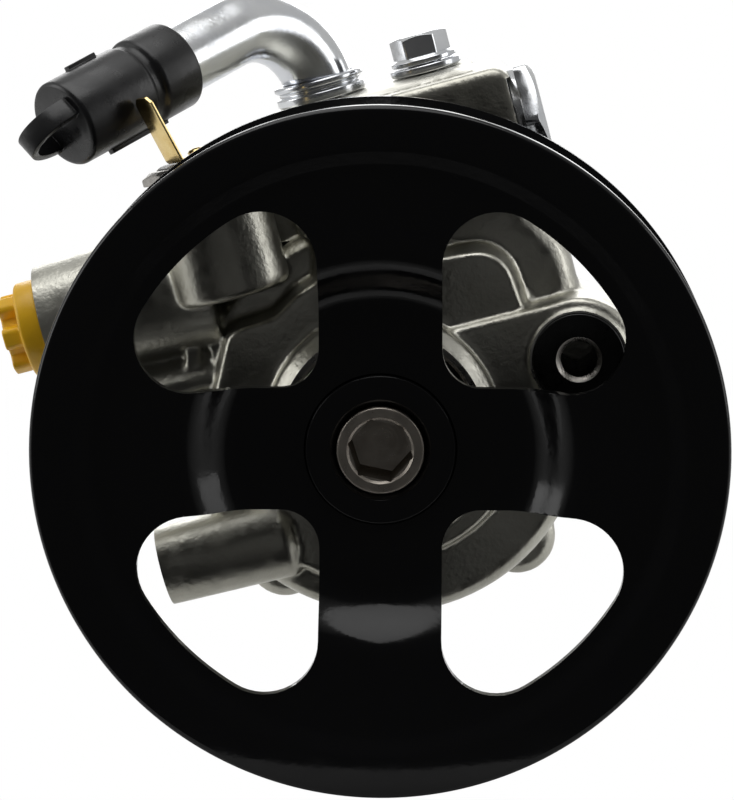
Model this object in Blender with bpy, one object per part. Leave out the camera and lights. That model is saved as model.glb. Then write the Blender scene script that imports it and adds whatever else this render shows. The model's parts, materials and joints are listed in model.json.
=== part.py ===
"""Power steering pump of the vane type, with its pulley, suction tube, valve and pressure switch.

Two frames carry the pieces. The shaft frame has its Z along the shaft, from the flat pad of the
rear cover (Z = 0) towards the pulley. The casting frame is the same frame turned with the cast
body about the shaft: its X runs along the valve bore and its Y up through the suction tube.
"""
import math

import bmesh
import bpy
from mathutils import Vector

MM = 0.001

# Fits
FIT = 0.15 * MM
SEAT = 0.3 * MM
RUNNING = 1.2 * MM

# How far the cast body leans about the shaft, seen from the pulley
BODY_TILT = math.radians(15.0)

# Lengths along the shaft, from the rear
COVER_THICKNESS = 11.7 * MM
CAM_WIDTH = 18.0 * MM
PLATE_THICKNESS = 6.0 * MM
FLOOR_WALL = 4.0 * MM
SEAL_WIDTH = 7.0 * MM
SHOULDER_WALL = 1.2 * MM
BEARING_WIDTH = 12.0 * MM
SNAP_THICKNESS = 1.6 * MM
NOSE_LIP = 0.7 * MM
HUB_LENGTH = 22.4 * MM
HUB_STEP = 1.2 * MM
NOSE_PROUD = 0.9 * MM

# Pulley
PULLEY_RADIUS = 75.0 * MM
PULLEY_WIDTH = 28.5 * MM
SHEET = 2.6 * MM
DISH_DEPTH = 11.0 * MM
RIM_FACE_RADIUS = 65.8 * MM
CREASE_WIDTH = 3.8 * MM
WEB_DEPTH = 2.2 * MM
CONE_OUTER_RADIUS = 44.5 * MM
CONE_INNER_RADIUS = 30.5 * MM
EDGE_RADIUS = 1.4 * MM
FRONT_LIP = 3.2 * MM
GROOVE_COUNT = 6
GROOVE_PITCH = 3.56 * MM
GROOVE_DEPTH = 2.9 * MM
LIP_HEIGHT = 1.6 * MM
RIM_WALL = 2.2 * MM
WINDOW_COUNT = 4
SPOKE_WIDTH = 26.6 * MM
WINDOW_RADIUS = 59.5 * MM
WINDOW_OUTER_FILLET = 11.8 * MM
WINDOW_INNER_FILLET = 8.5 * MM

# Hub and shaft
HUB_SPIGOT_RADIUS = 16.3 * MM
HUB_FLANGE_RADIUS = 20.0 * MM
HUB_FLANGE_THICKNESS = 3.0 * MM
HUB_BARREL_RADIUS = 14.5 * MM
HUB_CHAMFER = 1.4 * MM
HUB_EDGE = 0.4 * MM
SHAFT_NOSE_RADIUS = 9.55 * MM
SHAFT_SHOULDER = 1.6 * MM
SHAFT_SEAL_RADIUS = 8.5 * MM
SHAFT_REAR_RADIUS = 6.5 * MM
SHAFT_END_LENGTH = 8.5 * MM
SOCKET_FLATS = 12.4 * MM
SOCKET_DEPTH = 14.0 * MM
SOCKET_CHAMFER = 0.5 * MM
SOCKET_TURN = math.radians(-12.0)
SPLINE_TEETH = 10
SPLINE_RADIUS = 8.3 * MM
SPLINE_TOOTH = 0.9 * MM

# Shaft bearing
BEARING_BORE_RADIUS = 10.0 * MM
BEARING_OUTER_RADIUS = 21.0 * MM
BEARING_RACE_WALL = 2.9 * MM
BALL_COUNT = 8
BALL_RADIUS = 3.2 * MM
BALL_CLEARANCE = 0.2 * MM
CAGE_WIDTH = 8.4 * MM
CAGE_WALL = 1.2 * MM
SNAP_DEPTH = 1.3 * MM
SNAP_HEIGHT = 3.2 * MM
SNAP_GAP = math.radians(24.0)

# Shaft seal
SEAL_OUTER_RADIUS = 15.0 * MM
SEAL_SHELL = 1.4 * MM
SEAL_LIP_HEIGHT = 2.4 * MM

# Vane cartridge
CAVITY_RADIUS = 34.0 * MM
CAM_MINOR_RADIUS = 21.6 * MM
CAM_STROKE = 2.6 * MM
ROTOR_RADIUS = 21.0 * MM
VANE_COUNT = 10
VANE_THICKNESS = 1.8 * MM
VANE_LENGTH = 8.2 * MM
VANE_REST_GAP = 0.25 * MM
VANE_SINK = 1.2 * MM
VANE_OFFSET = math.radians(9.0)
PORT_INNER_RADIUS = 20.0 * MM
PORT_OUTER_RADIUS = 25.5 * MM
PORT_SPAN = math.radians(46.0)
PORT_DEPTH = 3.0 * MM
DOWEL_RADIUS = 2.0 * MM
DOWEL_CIRCLE = 28.8 * MM
DOWEL_REACH = 3.5 * MM
ROTOR_SNAP_HEIGHT = 1.3 * MM
ROTOR_SNAP_THICKNESS = 1.2 * MM
ROTOR_SNAP_GROOVE = 0.8 * MM
SNAP_POCKET = 3.0 * MM
O_RING_RADIUS = 1.2 * MM
SIDE_RING_HEIGHT = 2.0 * MM

# Rear cover
COVER_BODY_RADIUS = 38.0 * MM
COVER_FLANGE = 4.5 * MM
COVER_PAD_RADIUS = 15.0 * MM
COVER_RING_RADIUS = 36.6 * MM
BUSH_WALL = 1.5 * MM
BUSH_LENGTH = 7.6 * MM
BUSH_BLIND = 8.8 * MM

# Cover bolts
BOLT_ANGLES = [math.radians(a) for a in (-139.0, -59.0, 41.0, 121.0)]
BOLT_CIRCLE = 42.0 * MM
LOBE_RADIUS = 8.8 * MM
BOLT_RADIUS = 3.0 * MM
BOLT_LENGTH = 24.0 * MM
BOLT_HEAD_FLATS = 10.0 * MM
BOLT_HEAD_HEIGHT = 4.2 * MM
BOLT_FLANGE_RADIUS = 6.8 * MM
BOLT_FLANGE_HEIGHT = 1.3 * MM
BOLT_SPOT_RADIUS = 7.6 * MM

# Cast housing, in the casting frame
BODY_RADIUS = 45.5 * MM
DECK_LOW_HEIGHT = 48.0 * MM
DECK_HEIGHT = 56.0 * MM
DECK_RADIUS = 29.5 * MM
DECK_SLOPE = 3.5 * MM
CAST_EDGE = 2.0 * MM
NOSE_RADIUS = 24.8 * MM
NOSE_DRAFT = 1.6 * MM
EAR_CENTRE = Vector((46.0 * MM, 4.0 * MM))
EAR_RADIUS = 13.6 * MM
EAR_FRONT = 59.4 * MM
EAR_REAR = 26.0 * MM
EAR_EDGE = 2.0 * MM
EAR_STEP = 1.0 * MM
SHOULDER_RIGHT = 50.0 * MM
SHOULDER_FRONT = 47.0 * MM
SHOULDER_REAR = 20.0 * MM
SHOULDER_EDGE = 6.0 * MM

# Valve block and its bore
VALVE_Y = 57.5 * MM
VALVE_Z = 39.0 * MM
BLOCK_LEFT = -8.0 * MM
BLOCK_RIGHT = 46.0 * MM
BLOCK_HALF_HEIGHT = 13.5 * MM
BLOCK_HALF_DEPTH = 15.0 * MM
VALVE_RADIUS = 8.0 * MM
VALVE_RUNNING = 0.12 * MM
SPOOL_LENGTH = 24.0 * MM
SPOOL_NECK = 1.4 * MM
SPOOL_LAND = 6.0 * MM
SPOOL_CUP_RADIUS = 5.6 * MM
SPOOL_CUP_DEPTH = 8.0 * MM
VALVE_END = -4.0 * MM
SPOOL_TRAVEL = 5.0 * MM
PLUG_FLATS = 24.0 * MM
PLUG_HEAD = 6.0 * MM
PLUG_THREAD_RADIUS = 9.6 * MM
PLUG_THREAD_LENGTH = 10.0 * MM
PLUG_SEAL_SECTION = 1.1 * MM
SPRING_WIRE = 1.0 * MM
SPRING_TURNS = 5
SPRING_RADIUS = 4.8 * MM

# Suction tube
TUBE_X = 3.2 * MM
TUBE_Z = 10.5 * MM
TUBE_RADIUS = 8.0 * MM
TUBE_WALL = 1.25 * MM
TUBE_SEAT_DEPTH = 9.0 * MM
TUBE_RISE = 2.6 * MM
TUBE_BEND_RADIUS = 18.5 * MM
TUBE_BEND_ANGLE = math.radians(99.5)
TUBE_HEADING = math.radians(41.8)
TUBE_STRAIGHT = 47.4 * MM
COLLAR_RADIUS = 10.5 * MM
COLLAR_HEIGHT = 5.0 * MM
COLLAR_STEP = 0.9 * MM
COLLAR_GAP = 0.8 * MM
PAD_HEIGHT = 0.3 * MM
PAD_REAR = -0.8 * MM
PAD_FRONT = 49.0 * MM
PAD_LOW = 52.0 * MM
PAD_LEFT = -8.5 * MM
PAD_RIGHT = 39.0 * MM
SUCTION_BORE_RADIUS = 6.6 * MM
SUCTION_LINK_RADIUS = 5.0 * MM
SUCTION_LINK_LENGTH = 24.0 * MM
SUCTION_LINK_LEAN = math.radians(17.0)

# Rubber cap on the tube
CAP_RADIUS = 9.9 * MM
CAP_CUFF_RADIUS = 10.2 * MM
CAP_WAIST_RADIUS = 9.3 * MM
CAP_CUFF = 10.5 * MM
CAP_WAIST = 3.0 * MM
CAP_END_WALL = 3.0 * MM
CAP_END_GAP = 1.5 * MM
CAP_OVERLAP = 29.4 * MM
CAP_EDGE = 0.8 * MM
CAP_RIDGE_WIDTH = 2.0 * MM
CAP_RIDGE_HEIGHT = 1.0 * MM
CAP_RIDGE_START = 8.0 * MM
CAP_SHORT_RIDGE = 8.0 * MM
CAP_LONG_RIDGE = 17.0 * MM
TAB_REACH = 11.4 * MM
TAB_WIDTH = 14.8 * MM
TAB_STRAP = 5.0 * MM
TAB_SHEET = 1.8 * MM
TAB_TURN = math.radians(-65.0)

# Oilway bolt beside the tube
OILWAY_X = 28.2 * MM
OILWAY_FLATS = 12.0 * MM
OILWAY_HEAD = 5.0 * MM
OILWAY_FLANGE_RADIUS = 7.6 * MM
OILWAY_FLANGE_HEIGHT = 1.8 * MM
WASHER_RADIUS = 8.3 * MM
WASHER_HEIGHT = 1.8 * MM
OILWAY_RADIUS = 4.0 * MM
OILWAY_LENGTH = 7.0 * MM

# Pressure switch
SWITCH_X = -24.4 * MM
SWITCH_Z = 54.0 * MM
SWITCH_BOSS_RADIUS = 12.8 * MM
SWITCH_BOSS_LOW = 37.0 * MM
SWITCH_SEAT = 65.0 * MM
SWITCH_FLATS = 24.0 * MM
SWITCH_HEX_HEIGHT = 3.0 * MM
SWITCH_THREAD_RADIUS = 6.0 * MM
SWITCH_THREAD_LENGTH = 10.0 * MM
INSULATOR_RADIUS = 9.6 * MM
INSULATOR_HEIGHT = 2.0 * MM
INSULATOR_SINK = 2.0 * MM
PISTON_RADIUS = 2.4 * MM
PISTON_HEAD_RADIUS = 3.6 * MM
PISTON_LENGTH = 7.0 * MM
PISTON_HEAD = 0.8 * MM
SWITCH_SPRING_WIRE = 0.5 * MM
TERMINAL_WIDTH = 6.3 * MM
TERMINAL_SHEET = 0.8 * MM
TERMINAL_FOOT = 3.2 * MM
TERMINAL_REACH = 7.0 * MM
TERMINAL_HEIGHT = 16.0 * MM
TERMINAL_TURN = math.radians(38.0)
TERMINAL_LEAN = math.radians(10.0)
RIVET_RADIUS = 2.1 * MM
RIVET_HEIGHT = 1.1 * MM

# Outlet port and its plug
PORT_Y = 39.7 * MM
PORT_Z = 41.0 * MM
PORT_END = -68.9 * MM
PORT_ROOT = -30.0 * MM
PORT_RADIUS = 13.4 * MM
PORT_DRAFT = 2.2 * MM
FOOT_END = -58.0 * MM
FOOT_LOW = 17.5 * MM
FOOT_STEP = 20.5 * MM
FOOT_TOP = 27.5 * MM
FOOT_REAR = 29.0 * MM
FOOT_MIDDLE = 45.5 * MM
FOOT_FRONT = 51.5 * MM
PORT_BORE_RADIUS = 8.0 * MM
PORT_BORE_DEPTH = 16.0 * MM
OUTLET_RADIUS = 5.0 * MM
PLUG_FLANGE_RADIUS = 11.0 * MM
PLUG_FLANGE = 5.0 * MM
PLUG_STEM_LENGTH = 10.0 * MM
PLUG_STEM_WALL = 1.8 * MM
PLUG_KNOB_RADIUS = 9.6 * MM
PLUG_KNOB_WAIST = 6.6 * MM
PLUG_KNOB_HEIGHT = 4.2 * MM
PLUG_LOBES = 6

# Lower mounting boss and the bush in the ear
BOSS_Y = -19.4 * MM
BOSS_Z = 50.0 * MM
BOSS_RADIUS = 8.9 * MM
BOSS_END = -57.0 * MM
BOSS_ROOT = -14.0 * MM
BOSS_HOLE_RADIUS = 5.0 * MM
BOSS_HOLE_DEPTH = 20.0 * MM
BUSH_RADIUS = 10.3 * MM
BUSH_DEPTH = 29.0 * MM
BUSH_HOLE_RADIUS = 4.1 * MM
BUSH_HOLE_CHAMFER = 1.1 * MM
BUSH_PROUD = 0.6 * MM

# Facets
COARSE = 14
MEDIUM = 20
RACE_STEPS = 24
FINE = 32
RIM_STEPS = 48

# Stations along the shaft, worked out from the lengths above
CAM_REAR = COVER_THICKNESS + SEAT
CAM_FRONT = CAM_REAR + CAM_WIDTH
PLATE_REAR = CAM_FRONT + SEAT
PLATE_FRONT = PLATE_REAR + PLATE_THICKNESS
CAVITY_FLOOR = PLATE_FRONT + SEAT
SEAL_REAR = CAVITY_FLOOR + FLOOR_WALL
SEAL_FRONT = SEAL_REAR + SEAL_WIDTH + SEAT
BEARING_REAR = SEAL_FRONT + SHOULDER_WALL
BEARING_FRONT = BEARING_REAR + SEAT + BEARING_WIDTH
SNAP_REAR = BEARING_FRONT + SEAT
NOSE_FRONT = SNAP_REAR + SNAP_THICKNESS + NOSE_LIP + 2 * SEAT
HUB_REAR = NOSE_FRONT + RUNNING
HUB_FRONT = HUB_REAR + HUB_LENGTH
PLATE_FACE = HUB_FRONT - HUB_STEP
RIM_FRONT = PLATE_FACE + DISH_DEPTH
BLOCK_TOP = VALVE_Y + BLOCK_HALF_HEIGHT
PAD_TOP = BLOCK_TOP + PAD_HEIGHT
SHAFT_TIP = HUB_FRONT + NOSE_PROUD

for item in list(bpy.data.objects):
    bpy.data.objects.remove(item, do_unlink=True)


def make_material(name, colour, roughness, metallic):
    material = bpy.data.materials.new(name)
    material.use_nodes = True
    shader = material.node_tree.nodes["Principled BSDF"]
    shader.inputs["Base Color"].default_value = (*colour, 1.0)
    shader.inputs["Roughness"].default_value = roughness
    shader.inputs["Metallic"].default_value = metallic
    return material


BLACK_COAT = make_material("black_coat", (0.006, 0.006, 0.007), 0.12, 0.0)
STEEL = make_material("steel", (0.42, 0.41, 0.39), 0.32, 1.0)
DARK_STEEL = make_material("dark_steel", (0.05, 0.05, 0.05), 0.4, 1.0)
ZINC = make_material("zinc_plate", (0.72, 0.74, 0.76), 0.2, 1.0)
CAST = make_material("cast_aluminium", (0.44, 0.42, 0.38), 0.5, 1.0)
BRASS = make_material("brass", (0.83, 0.66, 0.30), 0.25, 1.0)
BRONZE = make_material("bronze", (0.55, 0.36, 0.20), 0.4, 1.0)
RUBBER = make_material("rubber", (0.012, 0.012, 0.013), 0.35, 0.0)
YELLOW = make_material("yellow_plastic", (0.92, 0.48, 0.01), 0.35, 0.0)
GREY_PLASTIC = make_material("grey_plastic", (0.30, 0.30, 0.29), 0.5, 0.0)


def make_frame(name, rotation):
    """An empty that carries the pieces of one frame."""
    empty = bpy.data.objects.new(name, None)
    empty.rotation_euler = rotation
    bpy.context.scene.collection.objects.link(empty)
    return empty


SHAFT = make_frame("shaft_frame", (math.pi / 2, 0.0, 0.0))
CASTING = make_frame("casting_frame", (math.pi / 2, -BODY_TILT, 0.0))

ALONG_Z = (0.0, 0.0, 0.0)
ALONG_X = (0.0, math.pi / 2, 0.0)
ALONG_MINUS_X = (0.0, -math.pi / 2, 0.0)
ALONG_Y = (-math.pi / 2, 0.0, 0.0)


def place(name, bm, material, parent=CASTING, location=(0.0, 0.0, 0.0), rotation=ALONG_Z):
    """Turn a bmesh into an object of the frame, shaded smooth with its sharp edges kept."""
    mesh = bpy.data.meshes.new(name)
    bmesh.ops.recalc_face_normals(bm, faces=bm.faces)
    bm.to_mesh(mesh)
    bm.free()
    if material:
        mesh.materials.append(material)
    mesh.shade_smooth()
    mesh.set_sharp_from_angle(angle=math.radians(35.0))
    item = bpy.data.objects.new(name, mesh)
    item.parent = parent
    item.location = location
    item.rotation_euler = rotation
    bpy.context.scene.collection.objects.link(item)
    return item


def helper(name, bm, parent=CASTING, location=(0.0, 0.0, 0.0), rotation=ALONG_Z):
    """A solid that only joins or cuts another."""
    item = place(name, bm, None, parent, location, rotation)
    item.hide_render = True
    item.display_type = "WIRE"
    return item


def combine(target, others, operation):
    for other in others:
        change = target.modifiers.new(other.name, "BOOLEAN")
        change.operation = operation
        change.object = other
        change.solver = "EXACT"


def turned(profile, steps, closed=True):
    """Solid of revolution about local Z from (radius, height) points; an open one ends on the axis."""
    bm = bmesh.new()
    points = [bm.verts.new((radius, 0.0, height)) for radius, height in profile]
    ends = points[1:] + points[:1] if closed else points[1:]
    lines = [bm.edges.new(pair) for pair in zip(points, ends)]
    bmesh.ops.spin(bm, geom=points + lines, cent=(0, 0, 0), axis=(0, 0, 1),
                   angle=2 * math.pi, steps=steps, use_merge=True)
    bmesh.ops.remove_doubles(bm, verts=bm.verts, dist=0.001 * MM)
    poles = [vert for vert in bm.verts if vert.co.xy.length < 0.001 * MM]
    bmesh.ops.dissolve_verts(bm, verts=poles)
    return bm


def rod(radius, low, high, steps=COARSE, chamfer=0.0):
    """A plain cylinder along local Z, chamfered at its high end if asked."""
    profile = [(0.0, low), (radius, low), (radius, high - chamfer)]
    if chamfer:
        profile.append((radius - chamfer, high))
    profile.append((0.0, high))
    return turned(profile, steps, closed=False)


def loft(rings):
    """A closed solid through rings of equally many points, with a flat cap at each end."""
    bm = bmesh.new()
    rows = [[bm.verts.new(point) for point in ring] for ring in rings]
    for low, high in zip(rows, rows[1:]):
        for index in range(len(low)):
            after = (index + 1) % len(low)
            bm.faces.new((low[index], low[after], high[after], high[index]))
    bm.faces.new(list(reversed(rows[0])))
    bm.faces.new(rows[-1])
    return bm


def prism(outline, low, high):
    return loft([[(a, b, height) for a, b in outline] for height in (low, high)])


def arc(centre, radius, start, end, steps):
    """Points on an arc, both ends included; angles in radians."""
    angles = [start + (end - start) * i / steps for i in range(steps + 1)]
    return [(centre[0] + radius * math.cos(t), centre[1] + radius * math.sin(t)) for t in angles]


def rounded(corners, steps=4):
    """Closed outline through corners (a, b, fillet radius); fillets stay within their edges."""
    points = []
    for index, (a, b, radius) in enumerate(corners):
        here = Vector((a, b))
        back = Vector(corners[index - 1][:2]) - here
        ahead = Vector(corners[(index + 1) % len(corners)][:2]) - here
        half = back.angle(ahead) / 2
        longest = 0.49 * min(back.length, ahead.length)
        radius = min(radius, longest * math.tan(half))
        if radius <= 0:
            points.append((a, b))
            continue
        middle = here + (back.normalized() + ahead.normalized()).normalized() * radius / math.sin(half)
        first = here + back.normalized() * radius / math.tan(half) - middle
        last = here + ahead.normalized() * radius / math.tan(half) - middle
        sweep = math.atan2(first.x * last.y - first.y * last.x, first.dot(last))
        start = math.atan2(first.y, first.x)
        points += arc(middle, radius, start, start + sweep, steps)
    return points


def shifted(outline, distance):
    """A closed counter-clockwise outline moved inward by a distance, point by point."""
    moved = []
    for index, point in enumerate(outline):
        here = Vector(point)
        back = (here - Vector(outline[index - 1])).normalized()
        ahead = (Vector(outline[(index + 1) % len(outline)]) - here).normalized()
        inward = Vector((-back.y - ahead.y, back.x + ahead.x)).normalized()
        lean = max(0.5, inward.dot(Vector((-ahead.y, ahead.x))))
        moved.append(tuple(here + inward * distance / lean))
    return moved


def cast_boss(outline, low, high, slope=0.0, edge=CAST_EDGE):
    """A cast boss whose top is the outline, with a rounded edge and sides that slope outward."""
    rings = [[(a, b, low) for a, b in shifted(outline, -slope - edge)]]
    for step in range(3):
        turn = step * math.pi / 4
        inset = shifted(outline, -edge * math.cos(turn)) if step < 2 else outline
        rings.append([(a, b, high - edge * (1 - math.sin(turn))) for a, b in inset])
    return loft(rings)


def polygon(flats, turn=0.0, sides=6):
    radius = flats / 2 / math.cos(math.pi / sides)
    return arc((0.0, 0.0), radius, turn, turn + 2 * math.pi, sides)[:-1]


def hexagon_head(flats, low, high, points=24):
    """A hexagonal bolt head whose top is turned down to a cone at the corners."""
    crown = 0.47 * flats
    rings = [[], [], []]
    for k in range(points):
        turn = 2 * math.pi * k / points
        radius = flats / 2 / math.cos(turn % (math.pi / 3) - math.pi / 6)
        shoulder = high - (radius - crown) * math.tan(math.radians(30))
        for ring, reach, height in zip(rings, (radius, radius, crown), (low, shoulder, high)):
            ring.append((reach * math.cos(turn), reach * math.sin(turn), height))
    return loft(rings)


def circle(radius, steps, centre=(0.0, 0.0)):
    return arc(centre, radius, 0.0, 2 * math.pi, steps)[:-1]


def hollow_prism(outer, inner, low, high):
    """A tube-like solid between two outlines of equally many points."""
    bm = bmesh.new()
    rows = []
    for outline, height in ((outer, low), (outer, high), (inner, high), (inner, low)):
        rows.append([bm.verts.new((a, b, height)) for a, b in outline])
    for one, other in zip(rows, rows[1:] + rows[:1]):
        for index in range(len(one)):
            after = (index + 1) % len(one)
            bm.faces.new((one[index], one[after], other[after], other[index]))
    return bm


def swept_tube(path, radius, sides, bore=0.0):
    """A round bar along points, or a tube where a bore is given. The path's frame doesn't twist."""
    bm = bmesh.new()
    forward = [(path[min(i + 1, len(path) - 1)] - path[max(i - 1, 0)]).normalized()
               for i in range(len(path))]
    across = forward[0].orthogonal().normalized()
    outer, inner = [], []
    for point, ahead in zip(path, forward):
        across = (across - ahead * across.dot(ahead)).normalized()
        up = ahead.cross(across)
        spokes = [across * math.cos(t) + up * math.sin(t)
                  for t in (2 * math.pi * k / sides for k in range(sides))]
        outer.append([bm.verts.new(point + spoke * radius) for spoke in spokes])
        if bore:
            inner.append([bm.verts.new(point + spoke * bore) for spoke in spokes])
    rows = outer + inner[::-1]
    if bore:
        rows.append(outer[0])
    for one, other in zip(rows, rows[1:]):
        for index in range(sides):
            after = (index + 1) % sides
            bm.faces.new((one[index], one[after], other[after], other[index]))
    if not bore:
        bm.faces.new(rows[0])
        bm.faces.new(rows[-1])
    return bm


def coil(radius, wire, turns, length, steps=8, sides=5):
    """A helical spring about local Z, from height 0 to its length."""
    count = turns * steps
    rise = length - 2 * wire
    path = [Vector((radius * math.cos(2 * math.pi * i / steps),
                    radius * math.sin(2 * math.pi * i / steps),
                    wire + rise * i / count)) for i in range(count + 1)]
    return swept_tube(path, wire / 2, sides)


def ring_seal(radius, section, height, steps=FINE):
    """An O-ring whose centre circle has the radius, at a height."""
    return turned([(radius + section * math.cos(k * math.pi / 3),
                    height + section * math.sin(k * math.pi / 3)) for k in range(6)], steps)


# Pulley: one dished sheet, its rim rolled back and grooved for the belt

def dish_skin():
    """Front face of the pulley's sheet from the hub outwards, as (radius, height)."""
    points = [(HUB_SPIGOT_RADIUS + SEAT, PLATE_FACE)]
    web = RIM_FRONT - WEB_DEPTH
    for step in range(5):
        share = step / 4
        radius = CONE_INNER_RADIUS + (CONE_OUTER_RADIUS - CONE_INNER_RADIUS) * share
        height = PLATE_FACE + (web - PLATE_FACE) * (0.5 - 0.5 * math.cos(math.pi * share))
        points.append((radius, height))
    points.append((RIM_FACE_RADIUS - CREASE_WIDTH, web))
    points.append((RIM_FACE_RADIUS, RIM_FRONT))
    return points


def behind(skin, thickness):
    """The back of a sheet whose front is an open run of points, offset square to it."""
    back = []
    for index, point in enumerate(skin):
        before = Vector(skin[max(index - 1, 0)])
        after = Vector(skin[min(index + 1, len(skin) - 1)])
        along = (after - before).normalized()
        back.append((point[0] + along.y * thickness, point[1] - along.x * thickness))
    return back


def pulley_profile():
    skin = dish_skin()
    tips = PULLEY_RADIUS - LIP_HEIGHT
    grooves_top = RIM_FRONT - FRONT_LIP - LIP_HEIGHT / 2
    rim_rear = RIM_FRONT - PULLEY_WIDTH
    outer = [(PULLEY_RADIUS - EDGE_RADIUS, RIM_FRONT),
             (PULLEY_RADIUS - 0.3 * EDGE_RADIUS, RIM_FRONT - 0.3 * EDGE_RADIUS),
             (PULLEY_RADIUS, RIM_FRONT - EDGE_RADIUS),
             (PULLEY_RADIUS, RIM_FRONT - FRONT_LIP)]
    for groove in range(GROOVE_COUNT):
        start = grooves_top - groove * GROOVE_PITCH
        outer.append((tips, start))
        outer.append((tips - GROOVE_DEPTH, start - GROOVE_PITCH / 2))
    last = grooves_top - GROOVE_COUNT * GROOVE_PITCH
    outer += [(tips, last),
              (PULLEY_RADIUS, last - LIP_HEIGHT / 2),
              (PULLEY_RADIUS, rim_rear + 0.5 * EDGE_RADIUS),
              (PULLEY_RADIUS - 0.5 * EDGE_RADIUS, rim_rear)]
    inside = tips - GROOVE_DEPTH - RIM_WALL
    back = behind(skin, SHEET)[:-2]
    turn_height = RIM_FRONT - WEB_DEPTH - SHEET
    inner = [(inside, rim_rear), (inside, turn_height - SHEET), (inside - SHEET, turn_height)]
    return skin + outer + inner + back[::-1]


def window_outline(quarter):
    """A window between two spokes: straight sides along the spokes, an arc outside."""
    side = SPOKE_WIDTH / 2
    inner = side + WINDOW_INNER_FILLET
    outer = side + WINDOW_OUTER_FILLET
    reach = math.sqrt((WINDOW_RADIUS - WINDOW_OUTER_FILLET) ** 2 - outer ** 2)
    lean = math.atan2(outer, reach)
    points = arc((inner, inner), WINDOW_INNER_FILLET, math.pi, 1.5 * math.pi, 3)
    points += arc((reach, outer), WINDOW_OUTER_FILLET, 1.5 * math.pi, 2 * math.pi + lean, 5)
    points += arc((0, 0), WINDOW_RADIUS, lean, math.pi / 2 - lean, 4)[1:-1]
    points += arc((outer, reach), WINDOW_OUTER_FILLET, math.pi / 2 - lean, math.pi, 5)
    turn = quarter * 2 * math.pi / WINDOW_COUNT
    return [(a * math.cos(turn) - b * math.sin(turn), a * math.sin(turn) + b * math.cos(turn))
            for a, b in points]


pulley = place("pulley", turned(pulley_profile(), RIM_STEPS), BLACK_COAT, SHAFT)
windows = [helper(f"window_{i + 1}", prism(window_outline(i), PLATE_FACE - 3 * SHEET, RIM_FRONT + SHEET),
                  SHAFT)
           for i in range(WINDOW_COUNT)]
combine(pulley, windows, "DIFFERENCE")

# Hub: a turned boss through the pulley's middle, welded behind it

hub_bore = SHAFT_NOSE_RADIUS + FIT
sheet_back = PLATE_FACE - SHEET - SEAT
place("pulley_hub", turned([
    (hub_bore, HUB_REAR), (HUB_BARREL_RADIUS, HUB_REAR),
    (HUB_BARREL_RADIUS, sheet_back - HUB_FLANGE_THICKNESS),
    (HUB_FLANGE_RADIUS, sheet_back - HUB_FLANGE_THICKNESS),
    (HUB_FLANGE_RADIUS, sheet_back), (HUB_SPIGOT_RADIUS, sheet_back),
    (HUB_SPIGOT_RADIUS, HUB_FRONT - HUB_EDGE), (HUB_SPIGOT_RADIUS - HUB_EDGE, HUB_FRONT),
    (hub_bore + HUB_CHAMFER, HUB_FRONT), (hub_bore, HUB_FRONT - HUB_CHAMFER)], FINE), BLACK_COAT, SHAFT)

# Shaft: nose in the hub, bearing seat, seal track, splined stretch for the rotor, tail in the bush


def star(radius, tooth, teeth):
    """A toothed outline: every second point is a tooth's root."""
    return [((radius - tooth * (k % 2)) * math.cos(math.pi * k / teeth),
             (radius - tooth * (k % 2)) * math.sin(math.pi * k / teeth)) for k in range(2 * teeth)]


shaft_end = COVER_THICKNESS - SHAFT_END_LENGTH
seat_front = BEARING_FRONT + SNAP_THICKNESS
ring_front = CAM_REAR + SNAP_POCKET - SEAT - FIT
ring_rear = ring_front - ROTOR_SNAP_THICKNESS
shaft = place("drive_shaft", turned([
    (0.0, shaft_end), (SHAFT_REAR_RADIUS - FIT, shaft_end), (SHAFT_REAR_RADIUS, shaft_end + SEAT),
    (SHAFT_REAR_RADIUS, ring_rear - FIT), (SHAFT_REAR_RADIUS - ROTOR_SNAP_GROOVE, ring_rear - FIT),
    (SHAFT_REAR_RADIUS - ROTOR_SNAP_GROOVE, ring_front + FIT), (SHAFT_REAR_RADIUS, ring_front + FIT),
    (SHAFT_REAR_RADIUS, PLATE_REAR + SEAT), (SHAFT_SEAL_RADIUS, PLATE_REAR + SEAT),
    (SHAFT_SEAL_RADIUS, SEAL_FRONT), (BEARING_BORE_RADIUS + SHAFT_SHOULDER, SEAL_FRONT + SEAT),
    (BEARING_BORE_RADIUS + SHAFT_SHOULDER, BEARING_REAR), (BEARING_BORE_RADIUS - FIT, BEARING_REAR),
    (BEARING_BORE_RADIUS - FIT, seat_front), (SHAFT_NOSE_RADIUS, seat_front + SEAT),
    (SHAFT_NOSE_RADIUS, SHAFT_TIP - SEAT), (SHAFT_NOSE_RADIUS - SEAT, SHAFT_TIP),
    (0.0, SHAFT_TIP)], FINE, closed=False), STEEL, SHAFT)
spline = helper("spline",
                prism(star(SPLINE_RADIUS, SPLINE_TOOTH, SPLINE_TEETH), CAM_REAR + SNAP_POCKET,
                      CAM_FRONT + 3 * SEAT),
                SHAFT)
socket_radius = SOCKET_FLATS / 2 / math.cos(math.pi / 6)
socket = helper("socket",
                prism(polygon(SOCKET_FLATS, SOCKET_TURN), SHAFT_TIP - SOCKET_DEPTH, SHAFT_TIP + SHEET),
                SHAFT)
socket_mouth = helper("socket_mouth", turned([
    (0.0, SHAFT_TIP - SOCKET_CHAMFER), (socket_radius - SOCKET_CHAMFER / 2, SHAFT_TIP - SOCKET_CHAMFER),
    (socket_radius + SOCKET_CHAMFER, SHAFT_TIP + SEAT), (0.0, SHAFT_TIP + SEAT)], MEDIUM, closed=False),
    SHAFT)
combine(shaft, [spline], "UNION")
combine(shaft, [socket, socket_mouth], "DIFFERENCE")

# Bearing: two grooved rings, a cage and its balls, held in the nose by a snap ring

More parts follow.
